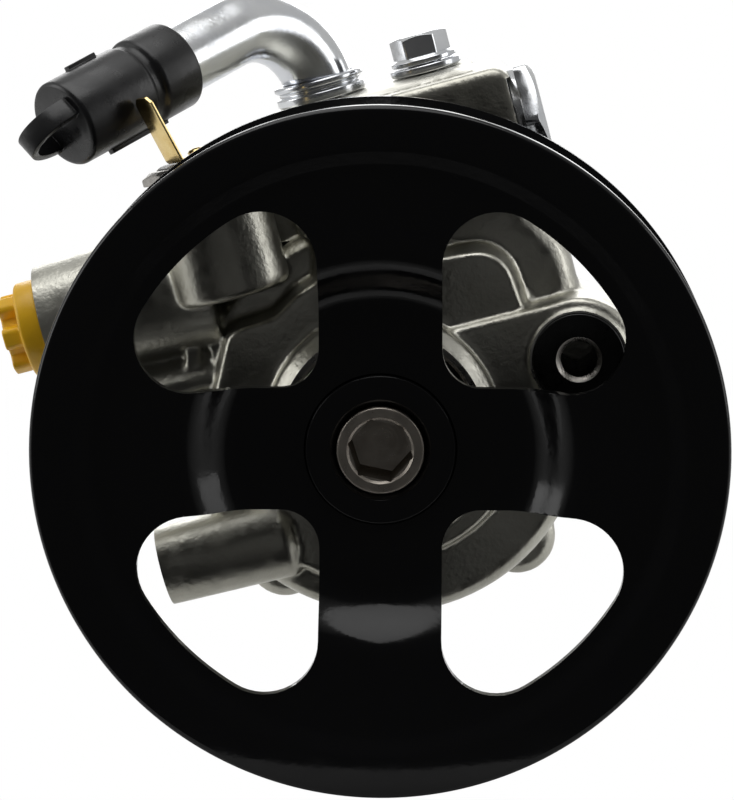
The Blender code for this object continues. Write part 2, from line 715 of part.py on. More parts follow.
bearing_low = BEARING_REAR + SEAT
ball_circle = (BEARING_BORE_RADIUS + BEARING_OUTER_RADIUS) / 2
ball_height = bearing_low + BEARING_WIDTH / 2
race_radius = BALL_RADIUS + BALL_CLEARANCE


def race(outside, inside, towards):
    """A bearing ring with its ball groove on the side that faces the balls."""
    edge = inside if towards > 0 else outside
    half = math.sqrt(race_radius ** 2 - (abs(ball_circle - edge)) ** 2)
    groove = []
    for step in range(4):
        height = -half + 2 * half * step / 3
        groove.append((ball_circle + towards * math.sqrt(race_radius ** 2 - height ** 2),
                       ball_height + height))
    low, high = bearing_low, bearing_low + BEARING_WIDTH
    if towards > 0:
        return turned([(inside, low), *groove, (inside, high), (outside, high), (outside, low)], RACE_STEPS)
    return turned([(outside, low), *groove, (outside, high), (inside, high), (inside, low)], RACE_STEPS)


place("bearing_outer_ring", race(BEARING_OUTER_RADIUS, BEARING_OUTER_RADIUS - BEARING_RACE_WALL, 1), STEEL)
place("bearing_inner_ring", race(BEARING_BORE_RADIUS + BEARING_RACE_WALL, BEARING_BORE_RADIUS, -1), STEEL,
      SHAFT)
cage = place("bearing_cage", turned([
    (ball_circle - CAGE_WALL / 2, ball_height - CAGE_WIDTH / 2),
    (ball_circle + CAGE_WALL / 2, ball_height - CAGE_WIDTH / 2),
    (ball_circle + CAGE_WALL / 2, ball_height + CAGE_WIDTH / 2),
    (ball_circle - CAGE_WALL / 2, ball_height + CAGE_WIDTH / 2)], MEDIUM), BRASS, SHAFT)
pockets = []
for i in range(BALL_COUNT):
    angle = 2 * math.pi * i / BALL_COUNT
    spot = (ball_circle * math.cos(angle), ball_circle * math.sin(angle), ball_height)
    ball = bmesh.new()
    bmesh.ops.create_uvsphere(ball, u_segments=8, v_segments=6, radius=BALL_RADIUS)
    place(f"bearing_ball_{i + 1}", ball, STEEL, SHAFT, spot)
    pocket = rod(BALL_RADIUS + SEAT, -2 * CAGE_WALL, 2 * CAGE_WALL, 10)
    pockets.append(helper(f"pocket_{i + 1}", pocket, SHAFT, spot, (0.0, math.pi / 2, angle)))
combine(cage, pockets, "DIFFERENCE")


def split_ring(outer, inner, low, high, gap, steps=16):
    """A snap ring: a flat ring open over a gap."""
    outline = arc((0, 0), outer, gap / 2, 2 * math.pi - gap / 2, steps)
    outline += arc((0, 0), inner, 2 * math.pi - gap / 2, gap / 2, steps)
    return prism(outline, low, high)


snap_outer = BEARING_OUTER_RADIUS + SNAP_DEPTH
place("bearing_snap_ring",
      split_ring(snap_outer, snap_outer - SNAP_HEIGHT, SNAP_REAR, SNAP_REAR + SNAP_THICKNESS,
                                      SNAP_GAP), DARK_STEEL)

# Seal: rubber-faced shell with a lip on the shaft

seal_low, seal_high = SEAL_REAR + SEAT, SEAL_REAR + SEAL_WIDTH
lip_radius = SHAFT_SEAL_RADIUS + FIT
place("shaft_seal", turned([
    (SEAL_OUTER_RADIUS, seal_low), (SEAL_OUTER_RADIUS, seal_high), (lip_radius + SEAL_SHELL, seal_high),
    (lip_radius + SEAL_SHELL / 2, seal_high - SEAL_SHELL),
    (lip_radius + SEAL_SHELL, seal_high - 1.6 * SEAL_SHELL), (lip_radius, seal_low + SEAL_LIP_HEIGHT / 2),
    (lip_radius + SEAL_SHELL, seal_low), (lip_radius + 2 * SEAL_SHELL, seal_low),
    (lip_radius + 2 * SEAL_SHELL, seal_high - 1.6 * SEAL_SHELL),
    (SEAL_OUTER_RADIUS - SEAL_SHELL, seal_high - 1.6 * SEAL_SHELL),
    (SEAL_OUTER_RADIUS - SEAL_SHELL, seal_low)],
    MEDIUM), RUBBER)

# Vane cartridge

plate_radius = CAVITY_RADIUS - SEAT


def cam_radius(angle):
    return CAM_MINOR_RADIUS + CAM_STROKE * (0.5 + 0.5 * math.cos(2 * angle))


def kidney(angle):
    """Outline of a curved port centred on an angle."""
    low, high = angle - PORT_SPAN / 2, angle + PORT_SPAN / 2
    return arc((0, 0), PORT_OUTER_RADIUS, low, high, 4) + arc((0, 0), PORT_INNER_RADIUS, high, low, 4)


dowel_spots = [(0.0, DOWEL_CIRCLE), (0.0, -DOWEL_CIRCLE)]
dowel_low, dowel_high = COVER_THICKNESS - DOWEL_REACH, PLATE_REAR + DOWEL_REACH
dowel_holes = [helper(f"dowel_hole_{i + 1}",
                      prism(circle(DOWEL_RADIUS + FIT, 14, spot), dowel_low - SEAT, dowel_high + SEAT))
               for i, spot in enumerate(dowel_spots)]
for i, spot in enumerate(dowel_spots):
    place(f"dowel_pin_{i + 1}", prism(circle(DOWEL_RADIUS, 14, spot), dowel_low, dowel_high), STEEL)

cam = place("cam_ring", hollow_prism(
    circle(plate_radius, FINE),
    [(cam_radius(t) * math.cos(t), cam_radius(t) * math.sin(t))
     for t in (2 * math.pi * k / FINE for k in range(FINE))],
    CAM_REAR, CAM_FRONT), STEEL)
combine(cam, dowel_holes, "DIFFERENCE")

ring_low = PLATE_REAR + PLATE_THICKNESS / 2 - SIDE_RING_HEIGHT / 2
ring_root = plate_radius - 1.6 * O_RING_RADIUS
plate = place("front_side_plate", turned([
    (SHAFT_SEAL_RADIUS + SEAT, PLATE_REAR), (plate_radius, PLATE_REAR), (plate_radius, ring_low),
    (ring_root, ring_low),
    (ring_root, ring_low + SIDE_RING_HEIGHT), (plate_radius, ring_low + SIDE_RING_HEIGHT),
    (plate_radius, PLATE_FRONT), (SHAFT_SEAL_RADIUS + SEAT, PLATE_FRONT)], FINE), STEEL)
pressure_ports = [helper(f"pressure_port_{i + 1}",
                         prism(kidney(math.radians(45 + 180 * i)), PLATE_REAR - SEAT,
                                                         PLATE_FRONT + SEAT)) for i in range(2)]
combine(plate, pressure_ports + dowel_holes, "DIFFERENCE")
side_section = SIDE_RING_HEIGHT / 2 - FIT
place("side_plate_seal",
      ring_seal(ring_root + FIT + side_section, side_section, ring_low + SIDE_RING_HEIGHT / 2),
      RUBBER)

vane_low, vane_high = CAM_REAR + FIT, CAM_FRONT - FIT
slot_half = VANE_THICKNESS / 2 + FIT
tip_radius = CAM_MINOR_RADIUS - VANE_REST_GAP
slot_root = tip_radius - VANE_LENGTH - VANE_SINK


def rotor_outline():
    """The rotor's edge with a slot for each vane."""
    points = []
    pitch = 2 * math.pi / VANE_COUNT
    mouth = math.asin(slot_half / ROTOR_RADIUS)
    reach = math.sqrt(ROTOR_RADIUS ** 2 - slot_half ** 2)
    for i in range(VANE_COUNT):
        turn = VANE_OFFSET + i * pitch
        along, side = (math.cos(turn), math.sin(turn)), (-math.sin(turn), math.cos(turn))
        for a, b in ((reach, -slot_half), (slot_root, -slot_half), (slot_root, slot_half),
                     (reach, slot_half)):
            points.append((a * along[0] + b * side[0], a * along[1] + b * side[1]))
        points += arc((0, 0), ROTOR_RADIUS, turn + mouth, turn + pitch - mouth, 3)[1:-1]
    return points


rotor = place("rotor", prism(rotor_outline(), vane_low, vane_high), STEEL, SHAFT,
              rotation=(0.0, 0.0, BODY_TILT))
rotor_bore = helper("rotor_bore",
                    prism(star(SPLINE_RADIUS + FIT, SPLINE_TOOTH, SPLINE_TEETH), CAM_REAR - SEAT,
                                        CAM_FRONT + SEAT), SHAFT)
snap_pocket = helper("snap_pocket", rod(SPLINE_RADIUS + 2 * ROTOR_SNAP_HEIGHT, CAM_REAR - SEAT,
                                        CAM_REAR + SNAP_POCKET), SHAFT)
combine(rotor, [rotor_bore, snap_pocket], "DIFFERENCE")
place("rotor_snap_ring", split_ring(SHAFT_REAR_RADIUS + ROTOR_SNAP_HEIGHT,
                                    SHAFT_REAR_RADIUS - ROTOR_SNAP_GROOVE + 2 * FIT, ring_rear, ring_front,
                                    SNAP_GAP), DARK_STEEL, SHAFT)

vane_outline = [(-VANE_LENGTH, -VANE_THICKNESS / 2), (-0.4 * VANE_THICKNESS, -VANE_THICKNESS / 2),
                (0.0, 0.0), (-0.4 * VANE_THICKNESS, VANE_THICKNESS / 2), (-VANE_LENGTH, VANE_THICKNESS / 2)]
for i in range(VANE_COUNT):
    angle = BODY_TILT + VANE_OFFSET + 2 * math.pi * i / VANE_COUNT
    place(f"vane_{i + 1}", prism(vane_outline, vane_low, vane_high), STEEL, SHAFT,
          (tip_radius * math.cos(angle), tip_radius * math.sin(angle), 0.0), (0.0, 0.0, angle))

# Rear cover: closes the cartridge, holds the bush, and carries the flat pad

bolt_spots = [(BOLT_CIRCLE * math.cos(a), BOLT_CIRCLE * math.sin(a)) for a in BOLT_ANGLES]
flange_rear = COVER_THICKNESS - COVER_FLANGE
cover_ring_root = COVER_RING_RADIUS - O_RING_RADIUS
cover = place("rear_cover", turned([
    (0.0, 0.0), (COVER_PAD_RADIUS, 0.0), (COVER_PAD_RADIUS + CAST_EDGE, CAST_EDGE),
    (COVER_BODY_RADIUS - 4 * CAST_EDGE, 1.2 * CAST_EDGE), (COVER_BODY_RADIUS - CAST_EDGE, 1.6 * CAST_EDGE),
    (COVER_BODY_RADIUS, flange_rear), (BODY_RADIUS - CAST_EDGE / 2, flange_rear),
    (BODY_RADIUS, flange_rear + CAST_EDGE / 2), (BODY_RADIUS, COVER_THICKNESS), (0.0, COVER_THICKNESS)],
    FINE, closed=False), CAST)
cover_lobes = [helper(f"cover_lobe_{i + 1}", prism(circle(LOBE_RADIUS, 18, spot), flange_rear + 0.1 * MM,
                                                   COVER_THICKNESS - 0.02 * MM))
               for i, spot in enumerate(bolt_spots)]
cover_holes = [helper(f"cover_hole_{i + 1}",
                      prism(circle(BOLT_RADIUS + SEAT, 12, spot), -SEAT, COVER_THICKNESS + SEAT))
               for i, spot in enumerate(bolt_spots)]
cover_spots = [helper(f"cover_spot_{i + 1}", prism(circle(BOLT_SPOT_RADIUS, 20, spot), -SEAT, flange_rear))
               for i, spot in enumerate(bolt_spots)]
cover_groove = helper("cover_groove", turned([
    (cover_ring_root - FIT, COVER_THICKNESS - 1.6 * O_RING_RADIUS),
    (COVER_RING_RADIUS + O_RING_RADIUS + FIT,
                                                                     COVER_THICKNESS - 1.6 * O_RING_RADIUS),
    (COVER_RING_RADIUS + O_RING_RADIUS + FIT, COVER_THICKNESS + SEAT),
    (cover_ring_root - FIT, COVER_THICKNESS + SEAT)], FINE))
bush_radius = SHAFT_REAR_RADIUS + FIT + BUSH_WALL
bush_bore = helper("bush_bore",
                   rod(bush_radius + FIT, COVER_THICKNESS - BUSH_BLIND, COVER_THICKNESS + SEAT, MEDIUM))
suction_ports = [helper(f"suction_port_{i + 1}", prism(kidney(math.radians(135 + 180 * i)),
                                                       COVER_THICKNESS - PORT_DEPTH,
                                                       COVER_THICKNESS + SEAT))
                 for i in range(2)]
combine(cover, cover_lobes, "UNION")
combine(cover, cover_spots + cover_holes + [cover_groove, bush_bore] + suction_ports + dowel_holes,
        "DIFFERENCE")
place("cover_seal", ring_seal(COVER_RING_RADIUS, 0.8 * O_RING_RADIUS,
                              COVER_THICKNESS - 0.75 * O_RING_RADIUS), RUBBER)
place("rear_bush", turned([
    (SHAFT_REAR_RADIUS + FIT, COVER_THICKNESS - BUSH_LENGTH), (bush_radius, COVER_THICKNESS - BUSH_LENGTH),
    (bush_radius, COVER_THICKNESS - FIT), (SHAFT_REAR_RADIUS + FIT, COVER_THICKNESS - FIT)], MEDIUM),
    BRONZE)


def flange_bolt(flats, head, flange_radius, flange_height, shank_radius, shank_length, sides=12):
    """A hexagon bolt with a round flange: seat at height 0, head above it, shank below."""
    body = turned([
        (0.0, -shank_length), (shank_radius, -shank_length), (shank_radius, 0.0), (flange_radius, 0.0),
        (flange_radius, 0.6 * flange_height), (0.55 * flats, flange_height), (0.0, flange_height)],
        sides, closed=False)
    return body, hexagon_head(flats, 0.5 * flange_height, flange_height + head, sides)


for i, spot in enumerate(bolt_spots):
    body, hexagon = flange_bolt(BOLT_HEAD_FLATS, BOLT_HEAD_HEIGHT, BOLT_FLANGE_RADIUS, BOLT_FLANGE_HEIGHT,
                                BOLT_RADIUS, BOLT_LENGTH)
    seat = (spot[0], spot[1], flange_rear - SEAT)
    bolt = place(f"cover_bolt_{i + 1}", body, ZINC, CASTING, seat, (math.pi, 0.0, 0.0))
    head = helper(f"cover_bolt_head_{i + 1}", hexagon, CASTING, seat, (math.pi, 0.0, 0.0))
    combine(bolt, [head], "UNION")

# Front housing: one casting, joined from its bosses and then bored

nose_low = DECK_HEIGHT - CAST_EDGE
housing = place("front_housing", turned([
    (0.0, CAM_REAR), (BODY_RADIUS, CAM_REAR), (BODY_RADIUS, DECK_LOW_HEIGHT - 2.2 * CAST_EDGE),
    (BODY_RADIUS - 0.5 * CAST_EDGE, DECK_LOW_HEIGHT - CAST_EDGE),
    (BODY_RADIUS - 1.5 * CAST_EDGE, DECK_LOW_HEIGHT), (0.0, DECK_LOW_HEIGHT)], FINE, closed=False), CAST)
deck_outline = rounded([
    (34.0 * MM, 8.5 * MM, 4.0 * MM), (34.5 * MM, 31.0 * MM, 7.0 * MM), (12.0 * MM, 33.0 * MM, 8.0 * MM),
    (9.0 * MM, VALVE_Y - BLOCK_HALF_HEIGHT + 4 * MM, 3.0 * MM),
    (-7.0 * MM, VALVE_Y - BLOCK_HALF_HEIGHT + 4 * MM, 3.0 * MM), (-8.0 * MM, 29.5 * MM, 6.0 * MM),
    (-30.5 * MM, 28.8 * MM, 6.0 * MM), (-36.0 * MM, 6.0 * MM, 9.0 * MM), (-28.0 * MM, -9.0 * MM, 6.0 * MM),
    *[(a, b, 0.0) for a, b in arc((0, 0), DECK_RADIUS, math.radians(205), math.radians(368), 14)]])
deck = helper("deck", cast_boss(deck_outline, DECK_LOW_HEIGHT - CAST_EDGE, DECK_HEIGHT, DECK_SLOPE))
nose = helper("nose", turned([
    (0.0, nose_low), (NOSE_RADIUS + NOSE_DRAFT, nose_low), (NOSE_RADIUS, NOSE_FRONT - 0.5 * CAST_EDGE),
    (NOSE_RADIUS - 0.5 * CAST_EDGE, NOSE_FRONT), (0.0, NOSE_FRONT)], FINE, closed=False))
ear_x, ear_y = EAR_CENTRE
ear_top = EAR_RADIUS - EAR_EDGE
ear_outline = rounded([
    (ear_x - 26 * MM, ear_y - 0.6 * ear_top, 0.0),
    *[(a, b, 0.0) for a, b in arc(EAR_CENTRE, ear_top, math.radians(-100), math.radians(100), 14)],
    (ear_x - 26 * MM, ear_y + ear_top, 0.0)])
ear = helper("ear", cast_boss(ear_outline, EAR_REAR, EAR_FRONT - EAR_STEP, 0.0, EAR_EDGE))
ear_ring = helper("ear_ring", turned([
    (0.0, EAR_REAR + EAR_EDGE), (EAR_RADIUS - 0.2 * EAR_EDGE, EAR_REAR + EAR_EDGE),
    (EAR_RADIUS - 0.4 * EAR_EDGE, EAR_FRONT - 0.4 * EAR_EDGE), (EAR_RADIUS - 0.8 * EAR_EDGE, EAR_FRONT),
    (0.0, EAR_FRONT)], MEDIUM, closed=False), location=(ear_x, ear_y, 0.0))
shoulder_outline = rounded([
    (20 * MM, 12 * MM, 0.0), (SHOULDER_RIGHT - SHOULDER_EDGE, 12 * MM, 3 * MM),
    (SHOULDER_RIGHT - SHOULDER_EDGE, 26 * MM, 8 * MM), (BLOCK_RIGHT - 1.2 * SHOULDER_EDGE, 36 * MM, 4 * MM),
    (BLOCK_RIGHT - 1.2 * SHOULDER_EDGE, VALVE_Y - 6 * MM, 0.0),
    (0.0, VALVE_Y - 6 * MM, 0.0)])
shoulder = helper("shoulder",
                  cast_boss(shoulder_outline, SHOULDER_REAR, SHOULDER_FRONT, 0.0, SHOULDER_EDGE))
block_outline = rounded([
    (BLOCK_RIGHT - CAST_EDGE, VALVE_Y - BLOCK_HALF_HEIGHT + CAST_EDGE, CAST_EDGE),
    (BLOCK_RIGHT - CAST_EDGE, BLOCK_TOP - CAST_EDGE, CAST_EDGE),
    (BLOCK_LEFT + CAST_EDGE, BLOCK_TOP - CAST_EDGE, CAST_EDGE),
    (BLOCK_LEFT + CAST_EDGE, VALVE_Y - BLOCK_HALF_HEIGHT + CAST_EDGE, CAST_EDGE)], 3)
block = helper("valve_block",
               cast_boss(block_outline, VALVE_Z - BLOCK_HALF_DEPTH, VALVE_Z + BLOCK_HALF_DEPTH))
pad_outline = rounded([(PAD_RIGHT, -PAD_FRONT, 3 * MM), (PAD_RIGHT, -PAD_REAR, 9 * MM),
                       (PAD_LEFT, -PAD_REAR, 9 * MM), (PAD_LEFT, -PAD_FRONT, 3 * MM)])
pad = helper("pad", cast_boss(shifted(pad_outline, CAST_EDGE / 2), PAD_LOW, PAD_TOP, 0.0, CAST_EDGE / 2),
             rotation=ALONG_Y)
switch_boss = helper("switch_boss", turned([
    (0.0, SWITCH_BOSS_LOW), (SWITCH_BOSS_RADIUS - CAST_EDGE, SWITCH_BOSS_LOW),
    (SWITCH_BOSS_RADIUS, SWITCH_BOSS_LOW + CAST_EDGE), (SWITCH_BOSS_RADIUS, SWITCH_SEAT - 0.4 * CAST_EDGE),
    (SWITCH_BOSS_RADIUS - 0.4 * CAST_EDGE, SWITCH_SEAT), (0.0, SWITCH_SEAT)], MEDIUM, closed=False),
    location=(SWITCH_X, 0.0, SWITCH_Z), rotation=ALONG_Y)
switch_web = helper("switch_web", cast_boss(rounded([
    (SWITCH_X - 8 * MM, 24 * MM, 2 * MM), (BLOCK_LEFT + 4 * MM, 24 * MM, 2 * MM),
    (BLOCK_LEFT + 4 * MM, SWITCH_SEAT - 6 * MM, 3 * MM),
    (SWITCH_X - 8 * MM, SWITCH_SEAT - 6 * MM, 3 * MM)]),
    VALVE_Z - BLOCK_HALF_DEPTH, SWITCH_Z))
port_boss = helper("port_boss", turned([
    (0.0, -PORT_END), (PORT_RADIUS - 0.4 * CAST_EDGE, -PORT_END),
    (PORT_RADIUS, -PORT_END - 0.4 * CAST_EDGE),
    (PORT_RADIUS + PORT_DRAFT, -PORT_ROOT), (0.0, -PORT_ROOT)], 24, closed=False),
    location=(0.0, PORT_Y, PORT_Z), rotation=ALONG_MINUS_X)
foot_outline = rounded([
    (-FOOT_REAR, FOOT_LOW, CAST_EDGE), (-FOOT_REAR, PORT_Y, 0.0), (-FOOT_MIDDLE, PORT_Y, 0.0),
    (-FOOT_MIDDLE, FOOT_TOP, CAST_EDGE), (-FOOT_FRONT, FOOT_STEP, CAST_EDGE),
    (-FOOT_FRONT, FOOT_LOW, CAST_EDGE)])
port_foot = helper("port_foot", prism(foot_outline, FOOT_END, PORT_ROOT), rotation=ALONG_X)
boss = helper("mount_boss", turned([
    (0.0, -BOSS_END), (BOSS_RADIUS - 0.3 * CAST_EDGE, -BOSS_END),
    (BOSS_RADIUS, -BOSS_END - 0.3 * CAST_EDGE),
    (BOSS_RADIUS + 0.8 * MM, -BOSS_ROOT), (0.0, -BOSS_ROOT)], 24, closed=False),
    location=(0.0, BOSS_Y, BOSS_Z), rotation=ALONG_MINUS_X)
lobes = [helper(f"lobe_{i + 1}", turned([
    (0.0, CAM_REAR + 0.05 * MM), (LOBE_RADIUS, CAM_REAR + 0.05 * MM), (LOBE_RADIUS, CAM_REAR + 22 * MM),
    (LOBE_RADIUS - CAST_EDGE, CAM_REAR + 24 * MM), (0.0, CAM_REAR + 24 * MM)], 18, closed=False),
    location=(*spot, 0.0)) for i, spot in enumerate(bolt_spots)]


def rib(name, start, end, width, low, high):
    """A cast rib between two points of the casting frame."""
    along = (Vector(end) - Vector(start)).normalized()
    side = Vector((-along.y, along.x)) * width / 2
    corners = [Vector(start) - side, Vector(end) - side, Vector(end) + side, Vector(start) + side]
    return helper(name, cast_boss([tuple(c) for c in corners], low, high, 0.5 * MM, 1.0 * MM))


ribs = [rib("rib_switch", (-42.5 * MM, 6 * MM), (-34.5 * MM, 38 * MM), 1.6 * MM, 34 * MM, 54 * MM),
        rib("rib_boss", (-40 * MM, -12 * MM), (-20 * MM, 4 * MM), 3 * MM, 34 * MM, 51 * MM),
        rib("rib_ear", (30 * MM, 20 * MM), (ear_x + 2 * MM, ear_y + ear_top - 2 * MM), 3 * MM, 34 * MM,
            DECK_HEIGHT - 1.5 * MM)]
combine(housing,
        [shoulder, block, pad, switch_web, switch_boss, port_foot, port_boss, boss, deck, nose, ear,
                  ear_ring] + ribs + lobes, "UNION")

bearing_seat = BEARING_OUTER_RADIUS + FIT
snap_seat = snap_outer + FIT
shaft_bore = helper("shaft_bore", turned([
    (0.0, CAM_REAR - SEAT), (CAVITY_RADIUS, CAM_REAR - SEAT), (CAVITY_RADIUS, CAVITY_FLOOR),
    (SHAFT_SEAL_RADIUS + SHAFT_SHOULDER, CAVITY_FLOOR), (SHAFT_SEAL_RADIUS + SHAFT_SHOULDER, SEAL_REAR),
    (SEAL_OUTER_RADIUS + FIT, SEAL_REAR), (SEAL_OUTER_RADIUS + FIT, BEARING_REAR),
    (bearing_seat, BEARING_REAR),
    (bearing_seat, SNAP_REAR - FIT), (snap_seat, SNAP_REAR - FIT),
    (snap_seat, SNAP_REAR + SNAP_THICKNESS + FIT),
    (bearing_seat, SNAP_REAR + SNAP_THICKNESS + FIT), (bearing_seat, NOSE_FRONT - NOSE_LIP),
    (bearing_seat + NOSE_LIP, NOSE_FRONT + SEAT), (0.0, NOSE_FRONT + SEAT)], FINE, closed=False))
spool_front = BLOCK_RIGHT - PLUG_THREAD_LENGTH - SEAT
valve_bore = helper("valve_bore", turned([
    (0.0, VALVE_END), (VALVE_RADIUS + VALVE_RUNNING, VALVE_END),
    (VALVE_RADIUS + VALVE_RUNNING, spool_front),
    (PLUG_THREAD_RADIUS + FIT, spool_front), (PLUG_THREAD_RADIUS + FIT, BLOCK_RIGHT + SEAT),
    (0.0, BLOCK_RIGHT + SEAT)], MEDIUM, closed=False), location=(0.0, VALVE_Y, VALVE_Z), rotation=ALONG_X)
link_start = PAD_LOW + 2 * MM
suction_link = helper("suction_link", rod(SUCTION_LINK_RADIUS, -SUCTION_LINK_LENGTH, 0.0),
                      location=(TUBE_X, link_start, TUBE_Z),
                      rotation=(-math.pi / 2 - SUCTION_LINK_LEAN, 0.0, 0.0))
suction_bore = helper("suction_bore", turned([
    (0.0, PAD_LOW), (SUCTION_BORE_RADIUS, PAD_LOW), (SUCTION_BORE_RADIUS, PAD_TOP - TUBE_SEAT_DEPTH),
    (TUBE_RADIUS + FIT, PAD_TOP - TUBE_SEAT_DEPTH),
    (TUBE_RADIUS + FIT, PAD_TOP + SEAT), (0.0, PAD_TOP + SEAT)], MEDIUM, closed=False),
    location=(TUBE_X, 0.0, TUBE_Z), rotation=ALONG_Y)
valve_drill = helper("valve_drill", rod(OUTLET_RADIUS / 2, PORT_Y, VALVE_Y, 12),
                     location=(VALVE_END + OUTLET_RADIUS / 2 + SEAT, 0.0, VALVE_Z), rotation=ALONG_Y)
outlet_bore = helper("outlet_bore", turned([
    (0.0, -VALVE_END - OUTLET_RADIUS), (OUTLET_RADIUS, -VALVE_END - OUTLET_RADIUS),
    (OUTLET_RADIUS, -PORT_END - PORT_BORE_DEPTH), (PORT_BORE_RADIUS, -PORT_END - PORT_BORE_DEPTH),
    (PORT_BORE_RADIUS, -PORT_END - SEAT), (PORT_BORE_RADIUS + SEAT, -PORT_END + SEAT),
    (0.0, -PORT_END + SEAT)], COARSE, closed=False), location=(0.0, PORT_Y, PORT_Z), rotation=ALONG_MINUS_X)
switch_bore = helper("switch_bore", turned([
    (0.0, PORT_Y), (PISTON_RADIUS + SEAT, PORT_Y),
    (PISTON_RADIUS + SEAT, SWITCH_SEAT - SWITCH_THREAD_LENGTH - SEAT),
    (SWITCH_THREAD_RADIUS + FIT, SWITCH_SEAT - SWITCH_THREAD_LENGTH - SEAT),
    (SWITCH_THREAD_RADIUS + FIT, SWITCH_SEAT + SEAT), (0.0, SWITCH_SEAT + SEAT)], MEDIUM, closed=False),
    location=(SWITCH_X, 0.0, SWITCH_Z), rotation=ALONG_Y)
oilway_bore = helper("oilway_bore", rod(OILWAY_RADIUS + FIT, PAD_TOP - OILWAY_LENGTH, PAD_TOP + SEAT),
                     location=(OILWAY_X, 0.0, TUBE_Z), rotation=ALONG_Y)
boss_hole = helper("boss_hole", turned([
    (0.0, -BOSS_END - BOSS_HOLE_DEPTH), (BOSS_HOLE_RADIUS, -BOSS_END - BOSS_HOLE_DEPTH),
    (BOSS_HOLE_RADIUS, -BOSS_END - 2 * SEAT), (BOSS_HOLE_RADIUS + 3 * SEAT, -BOSS_END + SEAT),
    (0.0, -BOSS_END + SEAT)], COARSE, closed=False), location=(0.0, BOSS_Y, BOSS_Z), rotation=ALONG_MINUS_X)
bush_low, bush_high = EAR_FRONT - BUSH_DEPTH, EAR_FRONT + BUSH_PROUD
bush_hole = helper("bush_hole", rod(BUSH_RADIUS + FIT, bush_low - SEAT, EAR_FRONT + SEAT, MEDIUM),
                   location=(ear_x, ear_y, 0.0))
bolt_holes = [helper(f"bolt_hole_{i + 1}", prism(circle(BOLT_RADIUS + SEAT, 12, spot), CAM_REAR - SEAT,
                                                 flange_rear + BOLT_LENGTH + SEAT))
              for i, spot in enumerate(bolt_spots)]
combine(housing,
        [shaft_bore, valve_bore, suction_link, suction_bore, valve_drill, outlet_bore, switch_bore,
         oilway_bore,
                  boss_hole, bush_hole] + bolt_holes, "DIFFERENCE")

place("mount_bush", turned([
    (BUSH_HOLE_RADIUS, bush_low + BUSH_HOLE_CHAMFER), (BUSH_HOLE_RADIUS + BUSH_HOLE_CHAMFER, bush_low),
    (BUSH_RADIUS, bush_low), (BUSH_RADIUS, bush_high - SEAT), (BUSH_RADIUS - SEAT, bush_high),
    (BUSH_HOLE_RADIUS + BUSH_HOLE_CHAMFER, bush_high), (BUSH_HOLE_RADIUS, bush_high - BUSH_HOLE_CHAMFER)],
    MEDIUM), DARK_STEEL, location=(ear_x, ear_y, 0.0))

# Flow control valve: spool, spring and plug

place("valve_spool", turned([
    (0.0, SPOOL_CUP_DEPTH), (SPOOL_CUP_RADIUS, SPOOL_CUP_DEPTH), (SPOOL_CUP_RADIUS, 0.0),
    (VALVE_RADIUS, 0.0), (VALVE_RADIUS, SPOOL_LAND), (VALVE_RADIUS - SPOOL_NECK, SPOOL_LAND),
    (VALVE_RADIUS - SPOOL_NECK, SPOOL_LENGTH - SPOOL_LAND), (VALVE_RADIUS, SPOOL_LENGTH - SPOOL_LAND),
    (VALVE_RADIUS, SPOOL_LENGTH), (0.0, SPOOL_LENGTH)], MEDIUM, closed=False), STEEL,
    location=(spool_front - SPOOL_LENGTH - SEAT, VALVE_Y, VALVE_Z), rotation=ALONG_X)
spring_start = VALVE_END + SEAT
spring_length = spool_front - SPOOL_LENGTH - 2 * SEAT + SPOOL_CUP_DEPTH - spring_start
place("valve_spring", coil(SPRING_RADIUS - SPRING_WIRE / 2, SPRING_WIRE, SPRING_TURNS, spring_length),
      STEEL,
      location=(spring_start, VALVE_Y, VALVE_Z), rotation=ALONG_X)
plug_low = BLOCK_RIGHT + SEAT
seal_reach = PLUG_THREAD_RADIUS + 2 * PLUG_SEAL_SECTION
plug = place("valve_plug", turned([
    (0.0, spool_front + SEAT), (PLUG_THREAD_RADIUS - SEAT, spool_front + SEAT),
    (PLUG_THREAD_RADIUS, spool_front + 2 * SEAT), (PLUG_THREAD_RADIUS, plug_low + PLUG_SEAL_SECTION),
    (seal_reach, plug_low + PLUG_SEAL_SECTION), (seal_reach, plug_low), (PLUG_FLATS / 2 - SEAT, plug_low),
    (PLUG_FLATS / 2 - SEAT, plug_low + PLUG_HEAD / 2), (0.0, plug_low + PLUG_HEAD / 2)],
    MEDIUM, closed=False), ZINC, location=(0.0, VALVE_Y, VALVE_Z), rotation=ALONG_X)
plug_head = helper("valve_plug_head", hexagon_head(PLUG_FLATS, plug_low + 1.5 * PLUG_SEAL_SECTION,
                                                   plug_low + PLUG_HEAD, 36),
                   location=(0.0, VALVE_Y, VALVE_Z), rotation=ALONG_X)
combine(plug, [plug_head], "UNION")
place("valve_plug_seal", turned([
    (PLUG_THREAD_RADIUS + FIT, plug_low), (seal_reach - FIT, plug_low),
    (seal_reach - FIT, plug_low + PLUG_SEAL_SECTION
                                                                         - FIT),
    (PLUG_THREAD_RADIUS + FIT, plug_low + PLUG_SEAL_SECTION - FIT)], MEDIUM), RUBBER,
    location=(0.0, VALVE_Y, VALVE_Z), rotation=ALONG_X)

# Suction tube: pressed in from above, bent over towards the front left

